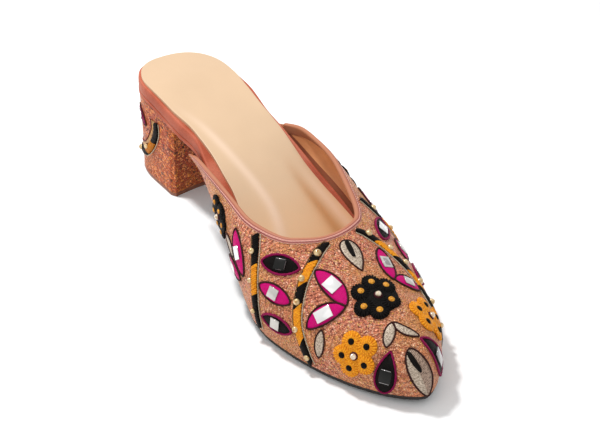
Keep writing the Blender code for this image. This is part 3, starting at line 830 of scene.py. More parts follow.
def stations(start, end, count, round_start=False):
    """Places along the shoe, closer together toward the end, and toward the start where it is round."""
    t = 1 - (1 - np.linspace(0, 1, count)) ** 1.6
    if round_start:
        t = t ** 1.5
    return start + (end - start) * t


def edge_point(x, side, offset):
    nx, ny = edge_normal(x, side)
    return x + nx * offset, centre_line(x) + side * (half_width(x, side) + ny * offset)


def layer_loft(rings, xs, across, lift=None):
    """Closed skin of a sole layer; rings of (offset, height) run from the top edge to the bottom edge."""
    sections, places = [], []
    for x in xs:
        inner, outer = [], []
        for offset, height in rings:
            for side, store in ((-1.0, inner), (1.0, outer)):
                px, py = edge_point(x, side, offset(x, side))
                store.append(np.array([float(px), float(py), float(height(px, side))]))
        top = []
        for k in range(1, across):
            t = k / across
            p = (1 - t) * inner[0] + t * outer[0]
            if lift:
                p[2] += lift(p[0], 2 * t - 1)
            top.append(p)
        bottom = [outer[-1] * (1 - k / across) + inner[-1] * k / across for k in range(1, across)]
        sections.append([inner[0]] + top + outer + bottom + inner[:0:-1])
        places.append([(x, -1.0)] + [(x, 2 * k / across - 1) for k in range(1, across)]
                      + [(x, 1.0)] * len(outer) + [(x, 9.0)] * len(bottom)
                      + [(x, -1.0)] * (len(inner) - 1))
    sections = np.array(sections)
    return sections.reshape(-1, 3), loft_faces(*sections.shape[:2]), np.array(places).reshape(-1, 2)


# rings of each layer from its top down: millimetres in from the edge, then millimetres below the bed
# for the sock and a share of the thickness for the board and sole; a third number is a rise
SOCK_PROFILE = ((0.25, 0.0), (0.1, 0.03), (0.0, 0.14), (0.0, 0.45), (0.1, 2.0))
BOARD_PROFILE = (
    (2.3, 0.0, 0.3), (1.9, 0.0, 0.55), (1.4, 0.0, 0.78), (0.9, 0.0, 0.82), (0.5, 0.0, 0.66), (0.22, 0.0, 0.3),
    (0.08, 0.06), (0.0, 0.2), (0.02, 0.45), (0.1, 0.6), (0.3, 0.66), (0.55, 0.68), (0.3, 0.71), (0.05, 0.78),
    (0.0, 0.88), (0.12, 0.97), (0.45, 1.03), (1.3, 1.06))
SOLE_PROFILE = ((0.3, 0.0), (0.0, 0.12), (0.1, 0.4), (0.6, 0.75), (1.7, 1.0))


def bell(value, middle, width):
    """Smooth bump of height 1 at middle."""
    return np.exp(-((value - middle) / width) ** 2)


def make_layers():
    """Sock, wrapped board and outsole."""
    def rounding(offset, drop):
        return (lambda x, side: -float(sided(x, side, SOCK_INSET)) - offset,
                lambda x, side: bed_height(x) - drop)

    def cup(x, k):
        """The bed dips along its middle and beside the outer wing, and has a soft ridge on the inner side."""
        hollow = -0.9 * (1 - k * k) * float(ease(x, 20, 60))
        valley = -0.95 * float(bell(k, VALLEY, 0.12)) * float(ease(x, 95, 130))
        ridge = 0.35 * float(bell(k, monotone(x, *SHEEN_LINE), 0.13)) * float(ease(x, 45, 75))
        return hollow + valley + ridge

    xs = stations(0, SHOE_LENGTH, SOCK_SECTIONS, True)
    points, faces, places = layer_loft([rounding(*step) for step in SOCK_PROFILE], xs, 44, cup)
    x, k = places[:, 0], places[:, 1]
    # painted highlight: pale streaks along the inner sheen line and beside the outer wall, laid into the
    # sock's colour by its map's u
    painted_sheen = bell(k, monotone(x, *SHEEN_LINE), 0.11) * ease(x, 42, 80) * (1 - 0.6 * ease(x, 120, 150))
    painted_sheen += 0.8 * bell(k, 0.86, 0.09) * ease(x, 100, 125)
    # painted shade: a brown band along the valley beside the outer wing, laid into the sock's colour by its
    # map's v
    painted_shade = bell(k, VALLEY, 0.12) * ease(x, 92, 132)
    sock = make_piece("insole_sock_pad", points, faces, [SOCK], "insole_sock",
                      uv=np.stack([painted_sheen, painted_shade], axis=-1), replaces=["insole_sock"], sharp=75)

    def lower(x, side):
        pinch = float(ease(x, 2, 12) - ease(x, 25, 60)) if side < 0 else 0.0
        open_edge = 1.5 - float(sided(x, side, BED_INSET)) - pinch
        clear = -1.75 if side < 0 else -1.8 - (WING_CLEAR - 1.8) * float(1 - ease(x, 84, 108))
        meet = float(ease(x, 68, 86)) if side < 0 else float(ease(x, 62, 84))
        return (1 - meet) * min(open_edge, clear * float(ease(x, 42, 72))) + meet * clear

    def ring(behind, share, rise=0.0):
        def fade(x):
            return 1 - 0.7 * float(ease(x, 120, 150))

        def height(x, side):
            lip = 1.2 * rise * float(ease(x, 60, 85) * (1 - ease(x, 130, 150))) if side > 0 else 0.0
            return board_top(x) - share * board_thickness(x) + rise * fade(x) + lip

        return lambda x, side: lower(x, side) - behind * fade(x), height

    points, faces, _ = layer_loft([ring(*step) for step in BOARD_PROFILE], xs, 3)
    make_piece("insole_board_wrap", points, faces, [ROSE], "insole_board", replaces=["insole_board"],
               sharp=60)

    def sole_ring(behind, share):
        return (lambda x, side: float(-5.0 + 4.7 * ease(x, 62, 98)) - behind,
                lambda x, side: outsole_top(x) - share * outsole_thickness(x))

    xs = stations(BREAST_X + GAP, SHOE_LENGTH, SOLE_SECTIONS)
    points, faces, _ = layer_loft([sole_ring(*step) for step in SOLE_PROFILE], xs, 6)
    make_piece("outsole_thin", points, faces, [SOLE], "outsole", replaces=["outsole"], sharp=50)


def heel_side(x, along, side, inset, squeeze):
    corner = 1.6 * float(ease(along, BREAST_X - 4.0, BREAST_X)) ** 2
    wide = float(half_width(along, side)) * (1 - squeeze) - inset * float(end_closure(along)) - corner
    return x, float(centre_line(along)) + side * wide


def heel_outline(inset, squeeze, back_x, front_x):
    """D-shaped plan of the heel with a slightly hollow breast."""
    t = np.linspace(0, 1, HEEL_COLUMNS)
    xs = back_x + (front_x - back_x) * (0.75 * t ** 1.6 + 0.25 * (1 - (1 - t) ** 2))
    span = (xs - back_x) / (front_x - back_x) * BREAST_X
    inner = [heel_side(x, s, -1.0, inset, squeeze) for x, s in zip(xs, span)]
    outer = [heel_side(x, s, 1.0, inset, squeeze) for x, s in zip(xs, span)]
    a, b = np.array(outer[-1]), np.array(inner[-1])
    breast = []
    for k in range(1, BREAST_STEPS):
        t = k / BREAST_STEPS
        p = (1 - t) * a + t * b
        breast.append((p[0] - BREAST_HOLLOW * 4 * t * (1 - t), p[1]))
    return inner[::-1] + outer[1:] + breast


def make_heel():
    """Covered block heel and its wearing tip; returns the cover's skin for the ornament."""
    loops = []
    floor = HEEL_TIP_THICK + GAP
    for t in np.linspace(0, 1, HEEL_LEVELS):
        low = 1 - (1 - t) ** 1.6
        outline = heel_outline(1.2, HEEL_SQUEEZE * low, 1.4 + HEEL_RAKE * low, BREAST_X + HEEL_LEAN * low)
        top = [float(board_bottom(x)) - GAP for x, y in outline]
        loops.append([(x, y, z + (floor - z) * t) for (x, y), z in zip(outline, top)])
    points = np.array(loops)
    faces = loft_faces(*points.shape[:2])
    make_piece("heel_cover", points.reshape(-1, 3), faces, [HEEL_CLOTH], "heel_block",
               replaces=["heel_block"], sharp=55)
    rings = []
    for inset, z in ((1.3, HEEL_TIP_THICK + 0.2), (1.25, 1.2), (1.35, 0.3), (1.8, 0.0)):
        loop = heel_outline(inset, HEEL_SQUEEZE, 1.45 + HEEL_RAKE, BREAST_X + HEEL_LEAN - 0.05)
        rings.append([(x, y, z) for x, y in loop])
    rings = np.array(rings)
    make_piece("heel_tip_lift", rings.reshape(-1, 3), loft_faces(*rings.shape[:2]), [TIP], "heel_tip",
               replaces=["heel_tip"], sharp=50)
    return BVHTree.FromPolygons([Vector(p) for p in points.reshape(-1, 3)], faces[:-2])


# ---------------------------------------------------------------- ornament

class Patch:
    """A flat working plane on the cloth between two points of it; forms drawn there are laid on the cloth."""

    def __init__(self, skin, a, b, middle):
        self.skin = skin
        a, b = np.asarray(a, float), np.asarray(b, float)
        centre = (a + b) / 2
        hit, normal, _, _ = skin.find_nearest(Vector(centre))
        n = np.array(normal)
        if n @ (np.array(hit) - np.asarray(middle, float)) < 0:
            n = -n
        u = (b - a) - n * float((b - a) @ n)
        self.length = float(np.linalg.norm(u))
        self.u, self.n = u / self.length, n
        self.v = np.cross(n, self.u)
        self.origin = centre - self.u * self.length / 2

    def find(self, point):
        """Place of a point of the cloth in the patch's plane."""
        q = np.asarray(point, float) - self.origin
        return float(q @ self.u), float(q @ self.v)

    def lay(self, s, t, lift):
        """Points at s along, t across and a lift above the cloth."""
        s, t, lift = np.broadcast_arrays(np.asarray(s, float), np.asarray(t, float), np.asarray(lift, float))
        out = np.zeros((s.size, 3))
        nrm = np.zeros((s.size, 3))
        down = Vector(-self.n)
        for i, (a, b, h) in enumerate(zip(s.ravel(), t.ravel(), lift.ravel())):
            q = self.origin + self.u * a + self.v * b
            hit, normal, _, _ = self.skin.ray_cast(Vector(q + self.n * 14), down, 40)
            if hit is None or (np.array(hit) - q) @ self.n < -11:
                hit, normal, _, _ = self.skin.find_nearest(Vector(q))
            normal = np.array(normal)
            if normal @ self.n < 0:
                normal = -normal
            out[i] = np.array(hit) + normal * h
            nrm[i] = normal
        return out.reshape(*s.shape, 3), nrm.reshape(*s.shape, 3)


STITCH_SLANT = 0.5
HEART = (170.0, -2.0, 12.0)
HEEL_HEART = (27.0, 1.0, 25.0)
SHAPES = {"marquise": (0.72, 0.72), "drop": (0.48, 0.95), "long": (0.6, 0.8), "low": (0.9, 0.58)}


def leaf_width(kind, t):
    a, b = SHAPES[kind]
    peak = (a / (a + b)) ** a * (b / (a + b)) ** b
    return np.clip(t, 0, 1) ** a * np.clip(1 - t, 0, 1) ** b / peak


def vamp_patch(skin, a, b):
    return Patch(skin, vamp_point(a[0], a[1], 0.0), vamp_point(b[0], b[1], 0.0), HEART)


def leaf(store, patch, width, kind="marquise", fill="MAGENTA", rim="EDGE", rim_radius=0.42, height=0.75,
         bend=0.0, half_fill=None):
    """Satin-stitched leaf with a corded outline; the stitches slant from its middle line."""
    length = patch.length
    t = np.sin(np.linspace(0, np.pi / 2, 27)) ** 2
    k = np.linspace(-1, 1, 13)
    half = width / 2 * leaf_width(kind, t)
    grid_s = np.repeat((t * length)[:, None], len(k), 1)
    grid_t = bend * (4 * t * (1 - t))[:, None] + half[:, None] * k[None, :]
    rise = np.clip(half / (width / 2) * 1.6, 0, 1)[:, None] * dome(k)[None, :]
    points, _ = patch.lay(grid_s, grid_t, 0.12 + height * rise)
    from_middle = np.abs(grid_t - bend * (4 * t * (1 - t))[:, None])
    uv = np.stack([grid_s + STITCH_SLANT * from_middle, grid_t], axis=-1)
    if half_fill:
        store[fill].add(points[:, 6:], grid_faces(len(t), 7), uv[:, 6:])
        store[half_fill].add(points[:, :7], grid_faces(len(t), 7), uv[:, :7])
    else:
        store[fill].add(points, grid_faces(len(t), len(k)), uv)
    turn = np.sin(np.linspace(0, np.pi / 2, 40)) ** 2
    side = width / 2 * leaf_width(kind, turn) + 0.1
    mid = bend * (4 * turn * (1 - turn))
    s = turn * (length + 0.2) - 0.1
    path, normals = patch.lay(np.concatenate([s, s[-2:0:-1]]),
                              np.concatenate([mid + side, (mid - side)[-2:0:-1]]), rim_radius * 0.75)
    store[rim].add(*tube(path, rim_radius, 7, True, 0.14, 0.95, normals))


def plate(store, patch, s, t, size_s, size_t, turn=0.0, name="MIRROR", lift=1.35, thick=0.5):
    """Flat mirror with a small bevel, held above the stitches at one place of a patch."""
    at, normal = patch.lay(s, t, lift)
    c, d = math.cos(math.radians(turn)), math.sin(math.radians(turn))
    u = patch.u - normal * float(patch.u @ normal)
    u /= np.linalg.norm(u)
    v = np.cross(normal, u)
    u, v = u * c + v * d, v * c - u * d
    rings = []
    for shrink, h in ((0.0, -thick), (0.0, -0.12), (0.14, 0.0)):
        a, b = size_s / 2 - shrink, size_t / 2 - shrink
        rings.append([at + u * x + v * y + normal * h for x, y in ((-a, -b), (a, -b), (a, b), (-a, b))])
    faces = grid_faces(3, 4, False, True) + [(3, 2, 1, 0), (8, 9, 10, 11)]
    store[name].add(np.array(rings), faces)


def bar(store, patch, s0, s1, t0, t1, radius):
    """Thick bar of black thread lying along a leaf, in strands side by side."""
    for k in (-1, 0, 1):
        s = np.linspace(s0 + 0.5 * abs(k), s1 - 0.5 * abs(k), 11)
        t = np.linspace(t0, t1, 11) + k * radius * 0.62 * np.sin(np.linspace(0.5, np.pi - 0.3, 11))
        path, normals = patch.lay(s, t, 0.75 + 0.2 * (1 - abs(k)))
        store["BLACK"].add(*tube(path, radius * 0.55, 8, False, 0.0, 1.0, normals))


def knob(store, patch, key, s, t, lift, radius, *shape):
    """Flattened ball on the cloth at one place of a patch."""
    at, normal = patch.lay(s, t, lift)
    store[key].add(*ball(at, radius, normal, *shape))


def strand(store, patch, key, s, t, lift, radius):
    """One fat thread laid through the given places of a patch."""
    path, normals = patch.lay(s, t, lift)
    store[key].add(*tube(path, radius, 6, False, 0.0, 1.0, normals))


def flower(store, patch, spots, lobe, colour, knot, heart, knot_radius=1.5):
    """Flower of round padded lobes in laid thread, each with a knot, round a bead in a dark ring."""
    places = [patch.find(vamp_point(x, a, 0.0)) for x, a in spots]
    middle, ring = places[0], places[1:]
    rng = np.random.default_rng(7)
    spin = np.linspace(0, 2 * np.pi, 28, endpoint=False)
    radii = np.array([0.0, 0.35, 0.7, 0.92, 1.0])
    for cs, ct in ring:
        phase = rng.uniform(0, 6.28)
        s = cs + lobe * radii[:, None] * np.cos(spin)[None, :]
        t = ct + lobe * radii[:, None] * np.sin(spin)[None, :]
        points, _ = patch.lay(s, t, 0.3 + 0.95 * dome(radii)[:, None] * np.ones(28)[None, :])
        store[colour].add(points, [f[::-1] for f in grid_faces(5, 28, False, True)],
                          np.stack([s, t], axis=-1))
        share = np.array([0.2, 0.5, 0.76, 0.93, 1.0])
        for j in range(19):
            a = phase + 2 * math.pi * (j + 0.12 * rng.uniform(-1, 1)) / 19
            reach = lobe * (0.97 + 0.02 * rng.uniform(-1, 1))
            bow = a + 0.12 * share
            strand(store, patch, colour, cs + reach * share * np.cos(bow), ct + reach * share * np.sin(bow),
                   0.1 + 0.95 * dome(share * 0.95), 0.62)
        knob(store, patch, knot, cs, ct, 1.15, knot_radius, 0.6, 7, 14)
    spin = np.linspace(0, 2 * np.pi, 36, endpoint=False)
    radii = np.array([0.0, 0.4, 0.75, 0.93, 1.0])
    wide = 1.27 * float(np.mean([math.dist(middle, p) for p in ring]))
    points, _ = patch.lay(middle[0] + wide * radii[:, None] * np.cos(spin)[None, :],
                          middle[1] + wide * radii[:, None] * np.sin(spin)[None, :],
                          0.2 + 0.85 * dome(radii)[:, None] * np.ones(36)[None, :])
    store[colour].add(points, [f[::-1] for f in grid_faces(5, 36, False, True)])
    knob(store, patch, "MAROON", *middle, 0.95, 2.1, 0.5, 6, 14)
    knob(store, patch, heart, *middle, 1.7, 1.5, 0.85, 8, 14)


def snap(skin, points, middle):
    """Points moved onto the cloth, with its outward normals."""
    out, normals = [], []
    for p in points:
        hit, normal, _, _ = skin.find_nearest(Vector(p))
        normal = np.array(normal)
        if normal @ (np.array(hit) - np.asarray(middle)) < 0:
            normal = -normal
        out.append(np.array(hit))
        normals.append(normal)
    return np.array(out), np.array(normals)


def band(store, skin, path, middle, width, colours, cuts, slant, beads, side, taper=(1.0, 1.0),
         rear=(0.75, "CORD_SOFT")):
    """Ribbon of slanted laid threads in changing colours between two cords, with beads beside it."""
    line, normals = snap(skin, resample(path, 0.6), middle)
    run = run_length(line)
    total = run[-1]
    along = np.gradient(line, axis=0)
    along /= np.linalg.norm(along, axis=1, keepdims=True)
    across = side * np.cross(normals, along)
    across /= np.linalg.norm(across, axis=1, keepdims=True)
    rng = np.random.default_rng(11)

    def at(s, t, lift):
        s = np.clip(s, 0, total)
        centre = np.stack([np.interp(s, run, line[:, k]) for k in range(3)], axis=-1)
        out = np.stack([np.interp(s, run, across[:, k]) for k in range(3)], axis=-1)
        place, n = snap(skin, centre + out * np.asarray(t)[..., None], middle)
        return place + n * np.asarray(lift)[..., None], n

    def wide(s):
        share = np.clip(s / total, 0, 1)
        start = taper[0] + (1 - taper[0]) * np.clip(share / 0.12, 0, 1)
        return width / 2 * start * (taper[1] + (1 - taper[1]) * np.clip((1 - share) / 0.12, 0, 1))

    k = np.linspace(-1, 1, 7)
    for i, (c0, c1) in enumerate(zip(cuts[:-1], cuts[1:])):
        key = colours[i % len(colours)]
        t = np.linspace(0, 1, max(5, int((c1 - c0) * total / 0.9)))
        s = np.clip((c0 + (c1 - c0) * t)[:, None] * total + slant * width / 2 * k[None, :], 0, total)
        lift = 0.1 + 0.5 * dome(k * 0.97)
        places = np.array([at(row, wide(row) * 0.9 * k, lift)[0] for row in s])
        uv = np.stack([s, np.broadcast_to(k * width / 2, s.shape)], axis=-1)
        store[key].add(places, grid_faces(*s.shape), uv)
        count = max(2, int(round((c1 - c0) * total / 0.95)))
        for j in range(count):
            centre = (c0 + (c1 - c0) * (j + 0.5) / count) * total + rng.uniform(-0.12, 0.12)
            reach = 1 + rng.uniform(-0.1, 0.12)
            s = np.clip(centre + slant * width / 2 * k * reach, 0, total)
            path3, n = at(s, wide(s) * k * reach, 0.25 + 0.55 * dome(k * 0.96))
            store[key].add(*tube(path3, 0.5 + rng.uniform(-0.05, 0.05), 6, False, 0.0, 1.0, n))
    s = np.arange(0, total, 0.45)
    for sign, away, key, radius in ((-1, 0.75, "CORD", 0.3), (1, *rear, 0.26)):
        path3, n = at(s, sign * (wide(s) + away), np.full(len(s), 0.25))
        store[key].add(*tube(path3, radius, 6, False, 0.15, 0.9, n))
    if rear[0] > 2:
        k = np.linspace(-1, 1, 9)
        t = np.linspace(-0.5, rear[0] - 0.3, 9)
        rows = np.array([at(np.full(9, place), wide(place) + t, 0.1 + 0.25 * dome(k))[0]
                         for place in s[::2]])
        uv = np.stack(np.broadcast_arrays(s[::2, None], t[None, :]), axis=-1)
        store["GOLD"].add(rows, grid_faces(len(rows), 9), uv)
    for share, offset, radius in beads:
        centre, n = at(np.array([share * total]), np.array([offset]), np.array([1.1]))
        store["BEAD"].add(*ball(centre[0], radius, n[0], 0.95, 9, 14))
        store["MAROON"].add(*ball(centre[0] - n[0] * 0.45, radius * 1.12, n[0], 0.5, 6, 12))
        store["GOLD"].add(*ball(centre[0] + n[0] * radius * 0.66, radius * 0.42, n[0], 0.8, 5, 10))


def petal(store, skin, a, b, width, colour, mirror, place=0.5, bend=0.0, turn=0.0, sizes=(6, 5)):
    """Satin petal between two places of the vamp, with its mirror."""
    p = vamp_patch(skin, a, b)
    rim, radius = ("MAGENTA_CORD", 0.6) if colour == "BLACK" else ("EDGE", 0.48)
    leaf(store, p, width, "marquise", colour, rim, radius, bend=bend)
    plate(store, p, p.length * place, bend * 4 * place * (1 - place), *sizes, turn, mirror)


def make_pieces(store, prefix, slot):
    """One piece of each material that was used."""
    for key, heap in store.items():
        if heap.count:
            material, label = STORE_MATERIALS[key]
            heap.piece(prefix + label, [material], slot)


def ornament_vamp(skin):
    """The vamp's embroidery; places are a station and a section angle on the last."""
    store = {key: Heap() for key in STORE_MATERIALS}

    def place(a, b):
        return vamp_patch(skin, a, b)

    def silver_leaf(a, b, width, bend=0.0):
        leaf(store, place(a, b), width, "marquise", "SILVER", "EDGE", 0.4, 0.5, bend)

    flower(store, place((203.0, 88.0), (221.0, 86.5)),
           ((212.4, 87.8), (204.9, 90.0), (208.9, 97.8), (217.2, 93.6), (219.6, 79.4), (214.2, 71.4),
            (207.0, 79.2)), 4.5, "BLACK_KNOT", "YELLOW_KNOT", "CRYSTAL", 1.7)
    p = place((179.4, 93.4), (196.9, 90.8))
    leaf(store, p, 9.0, "drop", "SILVER", "EDGE", 0.42, 0.6, 0.5)
    bar(store, p, 0.6, 10.2, 0.5, 0.1, 1.2)
    petal(store, skin, (186.4, 66.6), (208.2, 62.8), 9.0, "MAGENTA", "MIRROR", 0.47, 1.1, 6, (7.0, 6.6))
    petal(store, skin, (208.2, 61.0), (200.0, 28.0), 8.6, "MAGENTA", "MIRROR", 0.5, -1.3, sizes=(8.4, 5.6))
    petal(store, skin, (186.8, 113.4), (205.6, 109.4), 7.8, "MAGENTA", "MIRROR_SOFT", 0.47, 0.1,
          sizes=(6.8, 5.0))
    # a grey plate on the soft mirror: painted reflection
    p = place((186.8, 113.4), (205.6, 109.4))
    plate(store, p, p.length * 0.47, 0.1, 4.2, 2.6, 0, "MIRROR_GREY", 1.6, 0.3)
    petal(store, skin, (205.6, 110.6), (209.0, 136.0), 8.0, "MAGENTA", "MIRROR_SOFT", 0.52, 0.8,
          sizes=(5.6, 4.6))
    flower(store, place((215.5, 30.0), (233.0, 26.0)),
           ((224.6, 28.4), (220.8, 39.4), (227.4, 42.4), (229.8, 24.6), (224.4, 16.4), (219.8, 24.6)),
           4.7, "ORANGE_KNOT", "BLACK_KNOT", "CRYSTAL", 1.7)
    flower(store, place((217.0, 131.0), (234.5, 133.0)),
           ((225.4, 134.0), (224.2, 117.0), (220.2, 130.6), (223.4, 145.6), (230.4, 123.0), (230.8, 143.6)),
           4.7, "ORANGE_KNOT", "BLACK_KNOT", "CRYSTAL", 1.7)
    silver_leaf((206.6, 33.0), (209.4, 11.0), 4.8)
    silver_leaf((209.0, 150.0), (213.5, 168.0), 4.6)
    silver_leaf((227.6, 80.0), (233.7, 53.0), 4.9)
    silver_leaf((227.6, 80.5), (237.8, 98.0), 3.8, -1.1)
    p = place((236.2, 51.0), (238.4, 0.6))
    leaf(store, p, 9.6, "low", "BLACK", "MAGENTA_CORD", 0.5)
    plate(store, p, p.length * 0.56, 0.0, 6.2, 5.6, 0, "MIRROR_DARK", 1.0)
    # thin grey strips beside the dark mirror: painted highlight lines
    for share in (0.40, 0.72):
        plate(store, p, p.length * share, 0.0, 0.35, 4.6, 0, "MIRROR_GREY", 1.3, 0.3)
    petal(store, skin, (239.2, 99.5), (243.6, 174.0), 9.0, "BLACK", "MIRROR_GREY", 0.53, sizes=(8.6, 5.0))
    p = place((240.8, 71.5), (251.0, 9.5))
    leaf(store, p, 9.4, "long", "SILVER_DULL", "EDGE", 0.42, 0.6, 0.95, "SILVER")
    bar(store, p, 0.8, 10.4, -0.8, 1.6, 1.1)
    # three petals between the two bands of each side
    petal(store, skin, (165.0, 41.5), (181.0, 59.0), 9.0, "BLACK", "MIRROR_DARK", sizes=(5.6, 5.2))
    p = place((165.0, 41.5), (181.0, 59.0))
    # thin grey strips round the dark mirror: painted highlight lines along its edges
    for s, t, size_s, size_t in ((0.5, 2.5, 5.0, 0.3), (0.5, -2.5, 3.0, 0.25), (0.64, 0.0, 0.25, 4.0)):
        plate(store, p, p.length * s, t, size_s, size_t, 0, "MIRROR_GREY", 1.45, 0.3)
    petal(store, skin, (169.4, 28.4), (187.4, 34.8), 8.2, "MAGENTA", "MIRROR_SOFT", 0.47, sizes=(5.4, 5.4))
    petal(store, skin, (175.6, 12.2), (193.2, 17.0), 7.8, "BLACK", "MIRROR_SOFT", 0.47, sizes=(5.2, 5.2))
    petal(store, skin, (164.0, 141.5), (180.0, 124.0), 9.0, "BLACK", "MIRROR", sizes=(6.4, 5.4))
    petal(store, skin, (173.0, 148.5), (188.0, 142.5), 8.4, "MAGENTA", "MIRROR_SOFT", 0.48, sizes=(6.4, 5.8))
    petal(store, skin, (182.0, 163.0), (200.5, 149.0), 8.0, "BLACK", "MIRROR", 0.5, sizes=(5.4, 5.0))
    # the two bands that run down each side
    cuts = (0.0, 0.2, 0.385, 0.545, 0.81, 1.0)
    line = [vamp_point(x, a, 0.0) for x, a in (
        (177.6, 86.0), (179.8, 78.0), (182.2, 70.5), (185.9, 56.5), (190.3, 41.0), (194.9, 26.0),
        (201.0, 12.5), (205.8, 1.5))]
    band(store, skin, line, HEART, 3.6, ("BLACK", "ORANGE_KNOT"), cuts, 1.1,
         [(0.125, 0.1, 1.9), (0.345, 1.2, 1.7), (0.515, 0.6, 1.65), (0.71, 1.2, 1.6), (0.93, 0.0, 1.5)],
         -1, (0.5, 0.8))
    line = [vamp_point(x, a, 0.0) for x, a in (
        (175.4, 104.8), (178.4, 110.6), (185.3, 120.0), (193.8, 129.8), (201.0, 137.0), (208.5, 141.5),
        (215.2, 147.5), (221.0, 158.0), (224.6, 170.0), (226.2, 178.0))]
    cuts = (0.0, 0.165, 0.325, 0.455, 0.59, 0.75, 0.88, 1.0)
    band(store, skin, line, HEART, 3.6, ("BLACK", "ORANGE_KNOT"), cuts, 1.1,
         [(0.085, 0.8, 1.8), (0.25, 1.6, 1.65), (0.385, 2.0, 1.65), (0.53, 2.0, 1.65), (0.69, 2.2, 1.6),
          (0.86, 1.4, 1.5)], 1, (0.5, 0.8))
    rear = ((154.3, 47.6), (159.8, 39.0), (164.8, 28.6), (168.6, 18.8), (171.2, 9.5), (172.9, 2.0))
    for side in (-1, 1):
        turn = (lambda a: a) if side < 0 else (lambda a: 180.0 - a)
        line = [vamp_point(x, turn(a), 0.0) for x, a in rear]
        band(store, skin, line, HEART, 3.4, ("BLACK", "ORANGE_KNOT"), (0.0, 0.31, 0.62, 1.0), 0.5,
             [(0.17, 1.6, 1.5), (0.47, 2.3, 1.35), (0.8, 1.6, 1.35)], side)
        petal(store, skin, (142.3, turn(30.8)), (157.2, turn(17.5)), 7.6, "MAGENTA", "MIRROR",
              bend=0.9 * side, sizes=(6.6, 3.8))
        petal(store, skin, (137.6, turn(4.4)), (154.6, turn(11.2)), 7.2, "MAGENTA", "MIRROR",
              sizes=(5.4, 3.8))
        silver_leaf((133.7, turn(13.4)), (145.6, turn(14.0)), 5.0)
        flower(store, place((115.5, turn(13.2)), (133.0, turn(11.5))),
               ((124.2, turn(12.4)), (119.3, turn(16.6)), (125.2, turn(17.6)), (129.9, turn(14.0)),
                (128.9, turn(8.0)), (122.9, turn(6.4)), (118.5, turn(9.6))),
               3.5, "BLACK_KNOT", "YELLOW_KNOT", "CRYSTAL", 1.45)
    make_pieces(store, "vamp_", "upper")


def ornament_heel(skin):
    """Festoon that hangs round the back of the heel from high on both sides, with petals inside it."""
    store = {key: Heap() for key in STORE_MATERIALS}
    half = ((34.2, -22.5, 39.0), (34.6, -22.5, 34.0), (33.0, -22.5, 28.5), (29.0, -22.5, 21.5),
            (23.5, -22.0, 15.5), (16.0, -20.0, 12.0), (8.5, -13.5, 9.5), (4.6, -6.0, 8.6))
    path = list(half) + [(3.8, 1.0, 8.3)] + [(x, 2.2 - y, z) for x, y, z in half[::-1]]
    # the band's orange stretches use the darkened orange, a painted shade
    band(store, skin, path, HEEL_HEART, 3.9, ("BLACK", "AMBER"),
         (0.0, 0.12, 0.215, 0.31, 0.42, 0.5, 0.58, 0.69, 0.785, 0.88, 1.0), 0.8,
         [(0.19, 2.0, 1.4), (0.3, 0.4, 1.6), (0.42, 1.8, 1.4), (0.5, 1.8, 1.5), (0.58, 1.8, 1.4),
          (0.7, 0.4, 1.6), (0.81, 2.0, 1.4)], -1, rear=(3.2, "MAROON"))
    for side in (-1, 1):
        for top, low in (((13.5, 17.5, 39.0), (23.8, 22.5, 31.5)), ((6.0, 10.0, 39.0), (9.0, 14.5, 24.0))):
            a = (top[0], 1.1 + side * top[1], top[2])
            b = (low[0], 1.1 + side * low[1], low[2])
            p = Patch(skin, a, b, HEEL_HEART)
            leaf(store, p, 5.6, "marquise", "MAGENTA_CORD", "EDGE", 0.36)
            plate(store, p, p.length * 0.45, 0.0, 4.6, 3.6, 0)
    make_pieces(store, "heel_", "heel_block")


# ---------------------------------------------------------------- stage

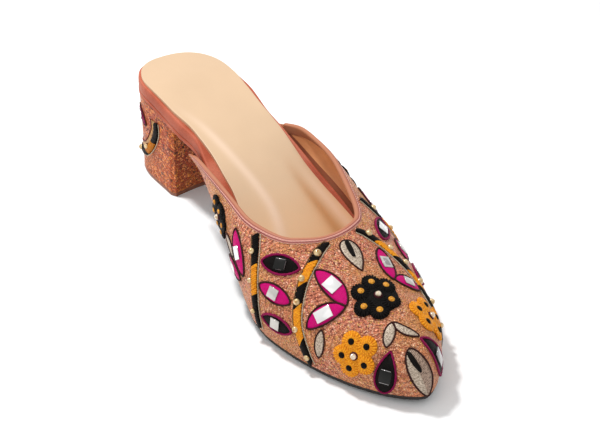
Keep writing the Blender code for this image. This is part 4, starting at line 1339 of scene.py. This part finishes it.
SKY = 0.72
LAMPS = (  # name, place, aim, size in metres, power in watts
    ("key", (-0.18, -0.11, 0.55), (0.0, 0.0, 0.03), 0.06, 2.5),
    ("fill", (0.5, -0.8, 0.9), (0.0, 0.0, 0.03), 0.9, 0.8),
)
LENS, CAMERA_ROLL = 95.5, 2.42
CAMERA_PLACE, CAMERA_AIM = (0.5382, -0.3538, 0.487), (0.0029, 0.0088, 0.025)


def make_stage():
    """Pale floor, soft studio light from the left and the camera."""
    mesh = bpy.data.meshes.new("floor")
    mesh.from_pydata([(-4, -4, 0), (4, -4, 0), (4, 4, 0), (-4, 4, 0)], [], [(0, 1, 2, 3)])
    floor = bpy.data.objects.new("floor", mesh)
    material, shader = shader_material("pale_floor", (0.96, 0.96, 0.96), 0.9)
    n = Nodes(material)
    cloud = n.noise(n.coords(), 3.0).outputs["Fac"]
    n.link(n.ramp(cloud, [(0.3, grey(0.95)), (0.7, grey(0.97))]), shader.inputs["Base Color"])
    mesh.materials.append(material)
    bpy.context.scene.collection.objects.link(floor)
    world = bpy.data.worlds.new("studio")
    world.use_nodes = True
    world.node_tree.nodes["Background"].inputs["Color"].default_value = (1, 1, 1, 1)
    world.node_tree.nodes["Background"].inputs["Strength"].default_value = SKY
    bpy.context.scene.world = world
    bpy.context.scene.view_settings.view_transform = "Standard"
    for name, place, aim, size, power in LAMPS:
        light = bpy.data.lights.new(name, "AREA")
        light.size = size
        light.energy = power
        lamp = bpy.data.objects.new(name, light)
        lamp.location = place
        lamp.rotation_euler = (Vector(aim) - Vector(place)).to_track_quat("-Z", "Y").to_euler()
        bpy.context.scene.collection.objects.link(lamp)
    camera = bpy.data.cameras.new("camera")
    camera.lens = LENS
    camera.sensor_width = 36.0
    seat = bpy.data.objects.new("camera", camera)
    place, aim = Vector(CAMERA_PLACE), Vector(CAMERA_AIM)
    turn = (aim - place).to_track_quat("-Z", "Y").to_matrix()
    roll = Matrix.Rotation(math.radians(CAMERA_ROLL), 3, "Z")
    seat.matrix_world = Matrix.Translation(place) @ (turn @ roll).to_4x4()
    bpy.context.scene.collection.objects.link(seat)
    bpy.context.scene.camera = seat


make_stage()
vamp_skin = make_vamp()
make_binding()
make_layers()
heel_skin = make_heel()
ornament_vamp(vamp_skin)
ornament_heel(heel_skin)
